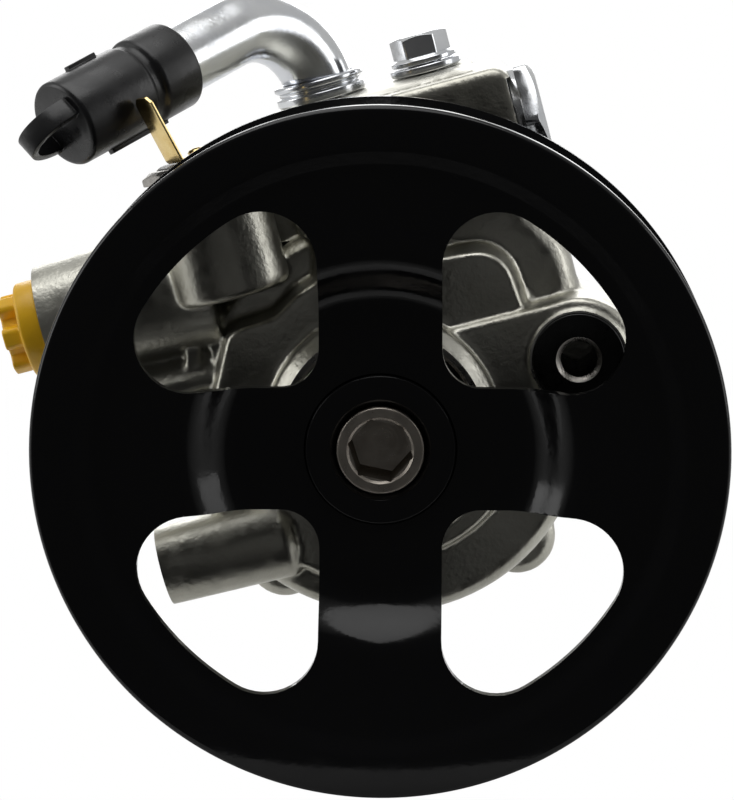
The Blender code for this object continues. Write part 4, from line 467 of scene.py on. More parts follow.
def swept(path, radius, sides, bore):
    """A round tube along points."""
    bm = bmesh.new()
    last = len(path) - 1
    forward = [(path[min(i + 1, last)] - path[max(i - 1, 0)]).normalized() for i in range(len(path))]
    across = forward[0].orthogonal().normalized()
    outer, inner = [], []
    for point, ahead in zip(path, forward):
        across = (across - ahead * across.dot(ahead)).normalized()
        up = ahead.cross(across)
        spokes = [across * math.cos(TAU * k / sides) + up * math.sin(TAU * k / sides) for k in range(sides)]
        outer.append([bm.verts.new(point + spoke * radius) for spoke in spokes])
        inner.append([bm.verts.new(point + spoke * bore) for spoke in spokes])
    rows = outer + inner[::-1] + [outer[0]]
    for one, other in zip(rows, rows[1:]):
        for index in range(sides):
            after = (index + 1) % sides
            bm.faces.new((one[index], one[after], other[after], other[index]))
    return bm


# Making pieces

def solid(bm, base=CASTING, location=(0.0, 0.0, 0.0), rotation=ALONG_Z, name="form"):
    """A bmesh in millimetres becomes an object in the shared frame, in metres."""
    bmesh.ops.recalc_face_normals(bm, faces=bm.faces)
    mesh = bpy.data.meshes.new(name)
    bm.to_mesh(mesh)
    bm.free()
    mesh.transform(Matrix.Scale(MM, 4) @ base @ Matrix.Translation(location) @ rotation)
    item = bpy.data.objects.new(name, mesh)
    bpy.context.scene.collection.objects.link(item)
    return item


def settle(item):
    """Apply the modifiers of an object."""
    graph = bpy.context.evaluated_depsgraph_get()
    mesh = bpy.data.meshes.new_from_object(item.evaluated_get(graph))
    item.modifiers.clear()
    old = item.data
    item.data = mesh
    bpy.data.meshes.remove(old)
    return item


def combine(target, others, operation, solver="EXACT"):
    for other in others:
        change = target.modifiers.new("join", "BOOLEAN")
        change.operation = operation
        change.object = other
        change.solver = solver
    settle(target)
    for other in others:
        bpy.data.objects.remove(other, do_unlink=True)
    return target


def merged(name, items):
    """Overlapping solids in one mesh."""
    bm = bmesh.new()
    for item in items:
        bm.from_mesh(item.data)
        bpy.data.objects.remove(item, do_unlink=True)
    mesh = bpy.data.meshes.new(name)
    bm.to_mesh(mesh)
    bm.free()
    whole = bpy.data.objects.new(name, mesh)
    bpy.context.scene.collection.objects.link(whole)
    return whole


def fused(item, voxel, passes):
    """Fuse overlapping solids into one skin and soften it as a casting."""
    remesh = item.modifiers.new("fuse", "REMESH")
    remesh.mode = "VOXEL"
    remesh.voxel_size = voxel * MM
    smooth = item.modifiers.new("soften", "SMOOTH")
    smooth.factor = 0.5
    smooth.iterations = passes
    return settle(item)


def bevelled(item, width, segments=2, angle=35.0):
    change = item.modifiers.new("edge", "BEVEL")
    change.width = width * MM
    change.segments = segments
    change.limit_method = "ANGLE"
    change.angle_limit = math.radians(angle)
    change.use_clamp_overlap = True
    return settle(item)


def dress(name, item, body, slot, nodes, sharp=35.0, finish_of=None):
    """Name a piece, give it its finish, and let it ride in place of its CAD nodes."""
    item.name = name
    item.data.name = name
    if not any(item.data.materials):
        item.data.materials.clear()
        item.data.materials.append(finish_of or FINISHES[slot])
    item.data.shade_smooth()
    item.data.set_sharp_from_angle(angle=math.radians(sharp))
    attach(item, body)
    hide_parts(*nodes)
    return item


def machine(item, tests):
    """Give the machined finish to the faces that pass a test of centre and normal in the casting frame.

    The slots are cleared first, because a Boolean can leave an empty one on the piece.
    """
    item.data.materials.clear()
    item.data.materials.append(CAST)
    item.data.materials.append(MACHINED)
    back = CASTING.inverted()
    for face in item.data.polygons:
        centre = (back @ face.center) / MM
        normal = back @ face.normal
        face.material_index = int(any(test(centre, normal) for test in tests))


# Pulley

def dish_skin():
    points = [(HUB_SPIGOT_RADIUS + 0.3, PLATE_FACE)]
    web = RIM_FRONT - WEB_DEPTH
    steps = 20
    for step in range(steps + 1):
        share = step / steps
        radius = CONE_INNER_RADIUS + (CONE_OUTER_RADIUS - CONE_INNER_RADIUS) * share
        points.append((radius, PLATE_FACE + (web - PLATE_FACE) * (0.5 - 0.5 * math.cos(math.pi * share))))
    points += fillet((CONE_OUTER_RADIUS, web), (RIM_FACE_RADIUS - CREASE_WIDTH, web),
                     (RIM_FACE_RADIUS, RIM_FRONT), 3.0, 5)
    points += fillet((RIM_FACE_RADIUS - CREASE_WIDTH, web), (RIM_FACE_RADIUS, RIM_FRONT),
                     (PULLEY_RADIUS, RIM_FRONT), 2.5, 5)
    return points


def behind(skin, thickness):
    back = []
    for index, point in enumerate(skin):
        before = Vector(skin[max(index - 1, 0)])
        after = Vector(skin[min(index + 1, len(skin) - 1)])
        along = (after - before).normalized()
        back.append((point[0] + along.y * thickness, point[1] - along.x * thickness))
    return back


def pulley_profile():
    skin = dish_skin()
    tips = PULLEY_RADIUS - LIP_HEIGHT
    top = RIM_FRONT - FRONT_LIP - LIP_HEIGHT / 2
    rear = RIM_FRONT - PULLEY_WIDTH
    outer = arc((PULLEY_RADIUS - 1.4, RIM_FRONT - 1.4), 1.4, math.pi / 2, 0.0, 6)
    outer.append((PULLEY_RADIUS, RIM_FRONT - FRONT_LIP))
    for groove in range(GROOVE_COUNT):
        start = top - groove * GROOVE_PITCH
        outer += [(tips - 0.15, start + 0.12), (tips, start), (tips - 0.15, start - 0.12)]
        outer += [(tips - GROOVE_DEPTH, start - GROOVE_PITCH / 2 + 0.2),
                  (tips - GROOVE_DEPTH, start - GROOVE_PITCH / 2 - 0.2)]
    last = top - GROOVE_COUNT * GROOVE_PITCH
    outer += [(tips, last), (PULLEY_RADIUS, last - LIP_HEIGHT / 2)]
    outer += arc((PULLEY_RADIUS - 0.8, rear + 0.8), 0.8, 0.0, -math.pi / 2, 4)
    inside = tips - GROOVE_DEPTH - RIM_WALL
    back = behind(skin, SHEET)[:-7]
    turn = RIM_FRONT - WEB_DEPTH - SHEET
    inner = [(inside, rear)]
    inner += fillet((inside, rear), (inside, turn), (CONE_OUTER_RADIUS, turn), 3.0, 6)
    return skin + outer + inner + back[::-1]


def window_outline(quarter):
    inner = HALF_SPOKE + WINDOW_INNER_FILLET
    outer = HALF_SPOKE + WINDOW_OUTER_FILLET
    reach = math.sqrt((WINDOW_RADIUS - WINDOW_OUTER_FILLET) ** 2 - outer ** 2)
    lean = math.atan2(outer, reach)
    points = arc((inner, inner), WINDOW_INNER_FILLET, math.pi, 1.5 * math.pi, 12)
    points += arc((reach, outer), WINDOW_OUTER_FILLET, 1.5 * math.pi, TAU + lean, 16)
    points += arc((0, 0), WINDOW_RADIUS, lean, math.pi / 2 - lean, 12)[1:-1]
    points += arc((outer, reach), WINDOW_OUTER_FILLET, math.pi / 2 - lean, math.pi, 16)
    turn = quarter * math.pi / 2
    return [(a * math.cos(turn) - b * math.sin(turn), a * math.sin(turn) + b * math.cos(turn))
            for a, b in points]


def make_pulley():
    pulley = solid(turned(pulley_profile(), RIM_ROUND, closed=True), SHAFT)
    windows = [solid(prism(window_outline(i), PLATE_FACE - 12, RIM_FRONT + 6), SHAFT) for i in range(4)]
    combine(pulley, windows, "DIFFERENCE")
    bevelled(pulley, 0.45, 2, 50.0)
    dress("pulley_form", pulley, "shaft", "black_coat", ["pulley"])


def make_hub():
    bore = SHAFT_NOSE_RADIUS + 0.15
    back = PLATE_FACE - SHEET - 0.3
    hub = solid(turned(softened([
        (bore, HUB_REAR), (HUB_BARREL_RADIUS, HUB_REAR), (HUB_BARREL_RADIUS, back - 3.0, 1.2),
        (HUB_FLANGE_RADIUS, back - 3.0, 0.6), (HUB_FLANGE_RADIUS, back, 0.3),
        (HUB_SPIGOT_RADIUS, back, 0.1),
        (HUB_SPIGOT_RADIUS, HUB_FRONT, 0.6), (bore + 1.4, HUB_FRONT, 0.5), (bore, HUB_FRONT - 1.4, 0.4),
        (bore, HUB_REAR)], 0.3), closed=True), SHAFT)
    dress("pulley_hub_form", hub, "shaft", "black_coat", ["pulley_hub"])


def make_shaft():
    """The shaft's whole length, with its splined stretch left plain inside the rotor."""
    shaft = solid(turned(softened([
        (0.0, 3.2), (6.35, 3.2, 0.3), (6.5, 3.6), (6.5, 12.9), (5.7, 12.9), (5.7, 14.4), (6.5, 14.4),
        (6.5, 30.9),
        (8.5, 30.9), (8.5, 47.9), (11.6, 48.2), (11.6, 49.1), (9.85, 49.1), (9.85, 63.3), (9.55, 63.6),
        (SHAFT_NOSE_RADIUS, SHAFT_TIP, 0.7), (0.0, SHAFT_TIP)], 0.12)), SHAFT)
    radius = SOCKET_FLATS / 2 / math.cos(math.pi / 6)
    hexagon = arc((0.0, 0.0), radius, SOCKET_TURN, SOCKET_TURN + TAU, 6)[:-1]
    socket = solid(prism(hexagon, SOCKET_FLOOR, SHAFT_TIP + 3), SHAFT)
    mouth = solid(turned([(0.0, SHAFT_TIP - 0.5), (radius - 0.4, SHAFT_TIP - 0.5),
                          (radius + 0.4, SHAFT_TIP + 0.3), (0.0, SHAFT_TIP + 0.3)]), SHAFT)
    star = [((8.3 - 0.9 * (k % 2)) * math.cos(math.pi * k / 10),
             (8.3 - 0.9 * (k % 2)) * math.sin(math.pi * k / 10))
            for k in range(20)]
    spline = solid(prism(star, 15.0, 30.9), SHAFT)
    combine(shaft, [spline], "UNION")
    combine(shaft, [socket, mouth], "DIFFERENCE")
    bevelled(shaft, 0.2, 2)
    dress("drive_shaft_form", shaft, "shaft", "steel", ["drive_shaft"], finish_of=NOSE_STEEL)


# Casting

def housing_solids():
    """The cast bosses, overlapping, before they are fused."""
    parts = []

    def grow(bm, location=(0.0, 0.0, 0.0), rotation=ALONG_Z):
        parts.append(solid(bm, CASTING, location, rotation))

    grow(turned([(0.0, HOUSING_REAR - 1), (BODY_RADIUS, HOUSING_REAR - 1), (BODY_RADIUS, DECK_LOW - 4.4),
                 (BODY_RADIUS - 0.4, DECK_LOW - 2.9), (BODY_RADIUS - 1.2, DECK_LOW - 1.4),
                 (BODY_RADIUS - 2.2, DECK_LOW - 0.3), (BODY_RADIUS - 3.4, DECK_LOW), (0.0, DECK_LOW)]))
    deck = rounded([
        (36.5, 8.5, 2.0), (34.5, 31.0, 7.0), (12.0, 33.0, 8.0), (9.0, BLOCK_LOW + 4, 3.0),
        (-2.0, BLOCK_LOW + 4, 3.0), (-4.5, 34.5, 4.0), (-11.0, 32.5, 5.0), (-17.0, 28.8, 5.0),
        (-27.5, 28.2, 4.0), (-36.0, 12.0, 9.0), (-28.5, -8.0, 6.0),
        (-27.6, -23.5, 6.0), (-19.0, -30.5, 9.0),
        *[(a, b, 0.0) for a, b in arc((0, 0), DECK_RADIUS, math.radians(258), math.radians(368), 28)]])
    grow(cast_boss(deck, DECK_LOW - 6.0, DECK, 2.0, 1.4))
    grow(turned([(0.0, DECK - 2), (NOSE_RADIUS + 1.6, DECK - 2), (NOSE_RADIUS + 1.2, NOSE_FRONT - 3.4),
                 (NOSE_RADIUS - 2.2, NOSE_FRONT + 0.6), (0.0, NOSE_FRONT + 2)]))
    top = EAR_RADIUS - 2.0
    ear = rounded([
        (EAR[0] - 26, EAR[1] - 0.6 * top, 0.0),
        *[(a, b, 0.0) for a, b in arc(EAR, top, math.radians(-100), math.radians(100), 40)],
        (EAR[0] - 26, EAR[1] + top, 0.0)])
    grow(cast_boss(ear, EAR_REAR, EAR_FRONT - 1.0, 0.0, 2.0))
    grow(turned([(0.0, EAR_REAR + 2), (EAR_RADIUS - 1.2, EAR_REAR + 2), (EAR_RADIUS - 1.2, EAR_FRONT - 5.0),
                 (EAR_RADIUS - 2.0, EAR_FRONT - 1.5), (EAR_RADIUS - 2.8, EAR_FRONT + 0.4),
                 (0.0, EAR_FRONT + 0.6)]),
         (*EAR, 0.0))
    shoulder = rounded([
        (20, 12, 0.0), (44, 12, 3), (44, 26, 8), (38.8, 36, 4), (38.8, VALVE_Y - 6, 0.0),
        (0.0, VALVE_Y - 6, 0.0)])
    grow(cast_boss(shoulder, 20.0, 47.0, 0.0, 6.0))
    block = rounded([
        (BLOCK_RIGHT + 1 - CAST_EDGE, BLOCK_LOW + CAST_EDGE, CAST_EDGE),
        (BLOCK_RIGHT + 1 - CAST_EDGE, BLOCK_TOP - CAST_EDGE, CAST_EDGE),
        (BLOCK_LEFT + CAST_EDGE, BLOCK_TOP - CAST_EDGE, CAST_EDGE),
        (BLOCK_LEFT + CAST_EDGE, BLOCK_LOW + CAST_EDGE, CAST_EDGE)], 5)
    grow(cast_boss(block, VALVE_Z - BLOCK_HALF_DEPTH, VALVE_Z + BLOCK_HALF_DEPTH))
    pad = rounded([(39.0, -49.0, 3), (39.0, 0.8, 9), (-8.5, 0.8, 9), (-8.5, -49.0, 3)], 8)
    grow(cast_boss(shifted(pad, 1.0), 52.0, PAD_TOP + 1.0, 0.0, 1.0), rotation=ALONG_Y)
    grow(turned([(0.0, 37.0), (10.8, 37.0), (12.3, 37.6), (12.8, 39.0), (12.8, SWITCH_SEAT + 1.0),
                 (0.0, SWITCH_SEAT + 1.0)]),
         (SWITCH[0], 0.0, SWITCH[1]), ALONG_Y)
    web = rounded([
        (SWITCH[0] - 8, 24, 2), (BLOCK_LEFT + 4, 24, 2), (BLOCK_LEFT + 4, SWITCH_SEAT - 6, 3),
        (SWITCH[0] - 8, SWITCH_SEAT - 6, 3)])
    grow(cast_boss(web, VALVE_Z - BLOCK_HALF_DEPTH, VALVE_Z + 3.0))
    grow(turned([(0.0, 30.0), (15.6, 30.0), (13.4, 1.0 - PORT_END), (0.0, 1.0 - PORT_END)]),
         (0.0, PORT_Y, PORT_Z), ALONG_MINUS_X)
    foot = rounded([(-29.0, 17.5, 2.0), (-29.0, PORT_Y, 0.0), (-45.5, PORT_Y, 0.0), (-45.5, 27.5, 2.0),
                    (-51.5, 20.5, 2.0), (-51.5, 17.5, 2.0)])
    grow(prism(foot, -58.0, -30.0), rotation=ALONG_X)
    grow(turned([(0.0, 58.0), (8.9, 58.0), (9.5, 28.0), (7.5, 26.0), (0.0, 26.0)]), (0.0, BOSS_Y, BOSS_Z),
         ALONG_MINUS_X)
    for spot in BOLT_SPOTS:
        grow(turned([(0.0, HOUSING_REAR - 1), (8.8, HOUSING_REAR - 1), (8.8, 34.0), (6.8, 36.0),
                     (0.0, 36.0)], 64),
             (*spot, 0.0))
    for start, end, width, low, high in (
            ((-43.4, 10), (-33.8, 37), 1.4, 34, 50), ((-33.0, 36), (-32.4, 21), 1.2, 34, 50),
            ((-40, -12), (-20, 4), 3, 34, 51),
            ((34, 11.6), (EAR[0], EAR[1] + top - 1.2), 1.4, 34, DECK - 1.0)):
        along = (Vector(end) - Vector(start)).normalized()
        side = Vector((-along.y, along.x)) * width / 2
        corners = [Vector(start) - side, Vector(end) - side, Vector(end) + side, Vector(start) + side]
        grow(cast_boss([tuple(c) for c in corners], low, high, 0.5, 1.0))
    return parts


def box(low, high):
    """A plain block between two corners, in the casting frame."""
    outline = [(low[0], low[1]), (high[0], low[1]), (high[0], high[1]), (low[0], high[1])]
    return solid(prism(outline, low[2], high[2]))


def make_housing():
    housing = fused(merged("front_housing_form", housing_solids()), VOXEL, 5)
    bores = [
        solid(turned([
            (0.0, 5.0), (34.0, 5.0), (34.0, CAVITY_FLOOR), (10.1, CAVITY_FLOOR), (10.1, SEAL_REAR),
            (15.15, SEAL_REAR), (15.15, BEARING_REAR), (BEARING_BORE, BEARING_REAR),
            (BEARING_BORE, SNAP_REAR - 0.15),
            (SNAP_BORE, SNAP_REAR - 0.15), (SNAP_BORE, 63.45), (BEARING_BORE, 63.45),
            (BEARING_BORE, NOSE_FRONT - 0.7),
            (22.15, NOSE_FRONT + 0.3), (22.15, 70.0), (0.0, 70.0)])),
        solid(turned([(0.0, -4.0), (8.12, -4.0), (8.12, 35.7), (9.75, 35.7), (9.75, 50.0), (0.0, 50.0)],
                     SMALL_ROUND),
              CASTING, (0.0, VALVE_Y, VALVE_Z), ALONG_X),
        solid(turned([(0.0, 52.0), (6.6, 52.0), (6.6, 62.3), (8.15, 62.3), (8.15, 74.0), (0.0, 74.0)],
                     SMALL_ROUND),
              CASTING, (TUBE_X, 0.0, TUBE_Z), ALONG_Y),
        solid(rod(4.15, 64.3, 74.0), CASTING, (OILWAY_X, 0.0, TUBE_Z), ALONG_Y),
        solid(turned([(0.0, -1.0), (5.0, -1.0), (5.0, 52.9), (8.0, 52.9), (8.0, 68.3), (8.9, 69.2),
                      (8.9, 71.0), (0.0, 71.0)],
                     SMALL_ROUND), CASTING, (0.0, PORT_Y, PORT_Z), ALONG_MINUS_X),
        solid(turned([(0.0, PORT_Y), (2.7, PORT_Y), (2.7, 54.7), (6.15, 54.7), (6.15, 67.6), (0.0, 67.6)],
                     SMALL_ROUND),
              CASTING, (SWITCH[0], 0.0, SWITCH[1]), ALONG_Y),
        solid(turned([(0.0, 37.0), (5.0, 37.0), (5.0, 56.2), (6.2, 57.4), (6.2, 59.0), (0.0, 59.0)],
                     SMALL_ROUND),
              CASTING, (0.0, BOSS_Y, BOSS_Z), ALONG_MINUS_X),
        solid(rod(10.45, 30.1, 62.0), CASTING, (*EAR, 0.0)),
    ]
    bores += [solid(rod(3.3, 5.0, 31.5, 32), CASTING, (*spot, 0.0)) for spot in BOLT_SPOTS]
    planes = [
        box((-60, -60, 4), (60, 75, HOUSING_REAR)),
        box((-30, -30, NOSE_FRONT), (30, 30, 75)),
        box((EAR[0] - 13.7, EAR[1] - 16, EAR_FRONT), (EAR[0] + 16, EAR[1] + 16, 70)),
        box((BLOCK_RIGHT, 40, 20), (60, 68, 60)),
        box((-20, PAD_TOP, -10), (45, 80, 55)),
        box((-40, SWITCH_SEAT, 35), (-9, 75, 70)),
        box((-80, 20, 20), (PORT_END, 60, 60)),
        box((-70, -35, 35), (BOSS_END, -5, 65)),
    ]
    pad_side = box((-30, 50, -10), (60, 80, 12.2))
    ground = planes.pop(0)
    keep = combine(ground, [pad_side], "DIFFERENCE")
    combine(housing, [keep] + planes + bores, "DIFFERENCE", "MANIFOLD")
    machine(housing, [
        lambda c, n: n.z > 0.99 and abs(c.z - NOSE_FRONT) < 0.05,
        lambda c, n: c.xy.length < 22.6 and c.z > SEAL_REAR and abs(n.z) < 0.9 and n.xy.dot(c.xy) < 0.0,
        lambda c,
        n: n.z > 0.99 and abs(c.z - EAR_FRONT) < 0.05 and (c.xy - Vector(EAR)).length < EAR_RADIUS,
        lambda c, n: n.x < -0.99 and abs(c.x - BOSS_END) < 0.05,
        lambda c, n: n.z < -0.99 and abs(c.z - HOUSING_REAR) < 0.05,
        lambda c, n: n.y > 0.99 and abs(c.y - SWITCH_SEAT) < 0.05,
        lambda c, n: n.x > 0.99 and abs(c.x - BLOCK_RIGHT) < 0.05,
    ])
    dress("front_housing_form", housing, "housing", "cast_aluminium", ["front_housing"], 40.0)


def make_cover():
    solids = [solid(turned([
        (0.0, -1.0), (15.0, -1.0), (16.0, 0.4), (17.0, 2.0), (30.0, 2.4), (36.0, 3.2), (38.0, FLANGE_REAR),
        (44.5, FLANGE_REAR), (BODY_RADIUS, 8.2), (BODY_RADIUS, COVER_FRONT + 1), (0.0, COVER_FRONT + 1)]))]
    solids += [solid(prism(circle(8.8, 48, spot), FLANGE_REAR + 0.1,
                           COVER_FRONT + 1)) for spot in BOLT_SPOTS]
    cover = fused(merged("rear_cover_form", solids), 0.7, 4)
    cuts = [
        box((-60, -60, COVER_FRONT), (60, 60, 16)), box((-20, -20, -4), (20, 20, 0.0)),
        solid(turned([(35.25, 9.78), (37.95, 9.78), (37.95, 14.0), (35.25, 14.0)], ROUND, closed=True)),
        solid(rod(8.3, 2.9, 14.0))]
    cuts += [solid(rod(3.3, -2.0, 14.0, 32), CASTING, (*spot, 0.0)) for spot in BOLT_SPOTS]
    cuts += [solid(rod(7.6, -2.0, FLANGE_REAR, 40), CASTING, (*spot, 0.0)) for spot in BOLT_SPOTS]
    for centre in (135, 315):
        low, high = math.radians(centre - 23), math.radians(centre + 23)
        outline = arc((0, 0), 25.5, low, high, 16) + arc((0, 0), 20.0, high, low, 16)
        cuts.append(solid(prism(outline, 8.7, 14.0)))
    cuts += [solid(rod(2.15, 7.9, 14.0, 24), CASTING, (0.0, side * 28.8, 0.0)) for side in (-1, 1)]
    combine(cover, cuts, "DIFFERENCE", "MANIFOLD")
    machine(cover, [
        lambda c, n: abs(n.z) > 0.99 and (c.z < 0.05 or c.z > COVER_FRONT - 0.05),
        lambda c, n: n.z < -0.99 and abs(c.z - FLANGE_REAR) < 0.05 and min(
            (c.xy - Vector(spot)).length for spot in BOLT_SPOTS) < 7.7,
    ])
    dress("rear_cover_form", cover, "housing", "cast_aluminium", ["rear_cover"], 40.0)


def make_bolt(number, spot):
    seat = (*spot, FLANGE_REAR - 0.3)
    bolt = solid(turned(softened([
        (0.0, -24.0), (2.4, -24.0), (3.0, -23.2), (3.0, 0.0), (6.8, 0.0, 0.2), (6.8, 0.8, 0.3),
        (5.5, 1.3, 0.3),
        (0.0, 1.3)], 0.1), SMALL_ROUND), CASTING, seat, TURNED_OVER)
    head = solid(hexagon_head(10.0, 0.6, 5.5), CASTING, seat, TURNED_OVER)
    dish = solid(turned([(0.0, 5.1), (2.2, 5.1), (3.6, 5.9), (0.0, 5.9)], SMALL_ROUND), CASTING, seat,
                 TURNED_OVER)
    combine(bolt, [head], "UNION")
    combine(bolt, [dish], "DIFFERENCE")
    bevelled(bolt, 0.15, 2)
    dress(f"cover_bolt_{number}_form", bolt, "housing", "zinc_plate", [f"cover_bolt_{number}"])


def make_bush():
    bush = solid(turned(softened([
        (4.1, 30.4), (5.2, 30.4, 0.2), (BUSH_RADIUS, 30.4, 0.4), (BUSH_RADIUS, BUSH_FRONT, 0.5),
        (5.1, BUSH_FRONT, 0.1), (4.0, 58.9, 0.1), (4.1, 31.5, 0.15), (5.2, 30.4)], 0.2), closed=True),
        CASTING, (*EAR, 0.0))
    bush.data.materials.clear()
    bush.data.materials.append(DARK_STEEL)
    bush.data.materials.append(STEEL)
    # The front-facing chamfer at the bore's mouth takes the lighter steel: a painted highlight on the dark
    # bush.
    back = CASTING.inverted()
    for face in bush.data.polygons:
        off_axis = ((back @ face.center) / MM).xy - Vector(EAR)
        face.material_index = int(off_axis.length < 5.6 and (back @ face.normal).z > 0.2)
    dress("mount_bush_form", bush, "housing", "dark_steel", ["mount_bush"])


# Valve plug, tube, collar, bolt and switch

def make_valve_plug():
    plug = solid(turned(softened([
        (0.0, 36.0), (9.0, 36.0), (9.6, 36.6), (9.6, 47.4), (11.8, 47.4), (11.8, 46.3), (11.9, 46.3),
        (11.9, 49.3),
        (0.0, 49.3)], 0.1)), CASTING, (0.0, VALVE_Y, VALVE_Z), ALONG_X)
    head = solid(hexagon_head(24.0, 47.9, 52.3, 0.46, 216), CASTING, (0.0, VALVE_Y, VALVE_Z), ALONG_X)
    dish = solid(turned([(0.0, 51.3), (6.2, 51.3), (7.4, 52.9), (0.0, 52.9)]), CASTING,
                 (0.0, VALVE_Y, VALVE_Z), ALONG_X)
    combine(plug, [head], "UNION")
    combine(plug, [dish], "DIFFERENCE")
    bevelled(plug, 0.25, 2)
    dress("valve_plug_form", plug, "housing", "zinc_plate", ["valve_plug"])


def tube_route():
    start = Vector((TUBE_X, PAD_TOP - 8.7, TUBE_Z))
    bend = Vector((TUBE_X, PAD_TOP + TUBE_RISE, TUBE_Z))
    heading = Vector((-math.cos(TUBE_HEADING), 0.0, math.sin(TUBE_HEADING)))
    up = Vector((0.0, 1.0, 0.0))
    steps = 48
    path = [start, start.lerp(bend, 0.8)]
    for step in range(steps + 1):
        turn = TUBE_BEND_ANGLE * step / steps
        path.append(bend + TUBE_BEND_RADIUS * (heading * (1 - math.cos(turn)) + up * math.sin(turn)))
    ahead = heading * math.sin(TUBE_BEND_ANGLE) + up * math.cos(TUBE_BEND_ANGLE)
    end = path[-1] + ahead * TUBE_STRAIGHT
    path += [path[-1].lerp(end, share) for share in (0.05, 0.5, 1.0)]
    return path, end, ahead


def make_tube():
    path, _, _ = tube_route()
    tube = solid(swept(path, TUBE_RADIUS, 72, TUBE_RADIUS - TUBE_WALL))
    bevelled(tube, 0.3, 2, 60.0)
    dress("suction_tube_form", tube, "housing", "zinc_plate", ["suction_tube"])


def make_collar():
    low, high = PAD_TOP + 0.3, PAD_TOP + 5.3
    collar = solid(turned(softened([
        (8.8, low + 2.4), (9.42, low + 2.4), (9.42, low), (10.5, low, 0.4), (10.5, low + 2.0, 0.5),
        (9.6, low + 2.5, 0.4), (9.6, low + 3.1, 0.4), (10.5, low + 3.6, 0.5), (10.5, high, 0.9),
        (8.8, high, 0.2),
        (8.8, low + 2.4)], 0.15, 5), closed=True), CASTING, (TUBE_X, 0.0, TUBE_Z), ALONG_Y)
    dress("tube_collar_form", collar, "housing", "zinc_plate", ["tube_collar"])


def make_oilway_bolt():
    washer_low = PAD_TOP + 0.3
    spot = (OILWAY_X, 0.0, TUBE_Z)
    washer = solid(turned(softened([
        (4.15, washer_low), (8.3, washer_low, 0.4), (8.3, washer_low + 1.8, 0.4), (4.15, washer_low + 1.8),
        (4.15, washer_low)], 0.1), closed=True), CASTING, spot, ALONG_Y)
    dress("oilway_washer_form", washer, "housing", "zinc_plate", ["oilway_washer"])
    seat = (OILWAY_X, washer_low + 2.1, TUBE_Z)
    bolt = solid(turned(softened([
        (0.0, -9.0), (3.4, -9.0), (4.0, -8.3), (4.0, 0.0), (7.6, 0.0, 0.3), (7.6, 1.1, 0.4),
        (6.6, 1.8, 0.4),
        (0.0, 1.8)], 0.1)), CASTING, seat, ALONG_Y)
    head = solid(hexagon_head(12.0, 0.9, 6.8, 0.46), CASTING, seat, ALONG_Y)
    combine(bolt, [head], "UNION")
    bevelled(bolt, 0.2, 2)
    dress("oilway_bolt_form", bolt, "housing", "zinc_plate", ["oilway_bolt"])


def make_switch():
    spot = (SWITCH[0], 0.0, SWITCH[1])
    low, top = SWITCH_SEAT + 0.3, SWITCH_SEAT + 3.3
    body = solid(turned([(0.0, 55.0), (6.0, 55.0), (6.0, top - 0.4), (0.0, top - 0.4)]), CASTING, spot,
                 ALONG_Y)
    hexagon = solid(hexagon_head(24.0, low, top, 0.46, 216), CASTING, spot, ALONG_Y)
    inside = solid(turned([
        (0.0, 54.6), (2.55, 54.6), (2.55, 62.7), (3.9, 62.7), (3.9, 66.3), (9.9, 66.3), (9.9, top + 1),
        (0.0, top + 1)]),
        CASTING, spot, ALONG_Y)
    combine(body, [hexagon], "UNION")
    combine(body, [inside], "DIFFERENCE")
    bevelled(body, 0.3, 3)
    dress("switch_body_form", body, "housing", "zinc_plate", ["switch_body"], finish_of=STEEL)
    insulator = solid(turned(softened([
        (1.2, 66.6), (9.6, 66.6, 0.1), (9.6, 68.6, 0.5), (1.2, 68.6), (1.2, 66.6)], 0.05), closed=True),
        CASTING, spot, ALONG_Y)
    dress("switch_insulator_form", insulator, "housing", "grey_plastic", ["switch_insulator"])
    rivet = solid(turned(softened([
        (0.0, 66.3), (1.05, 66.3), (1.05, 69.85), (2.1, 69.85, 0.1), (2.1, 70.2, 0.3), (1.6, 70.7, 0.4),
        (0.8, 70.95, 0.4), (0.0, 70.95)], 0.05, 4)), CASTING, spot, ALONG_Y)
    dress("terminal_rivet_form", rivet, "housing", "brass", ["terminal_rivet"])


# Terminal: a strip on the insulator, bent up into the blade

TERMINAL_TURN = math.radians(38.0)
TERMINAL_LEAN = math.radians(10.0)
TERMINAL_REACH = 7.0
TERMINAL_HEIGHT = 16.0
TERMINAL_WIDTH = 6.3
TERMINAL_SHEET = 0.8


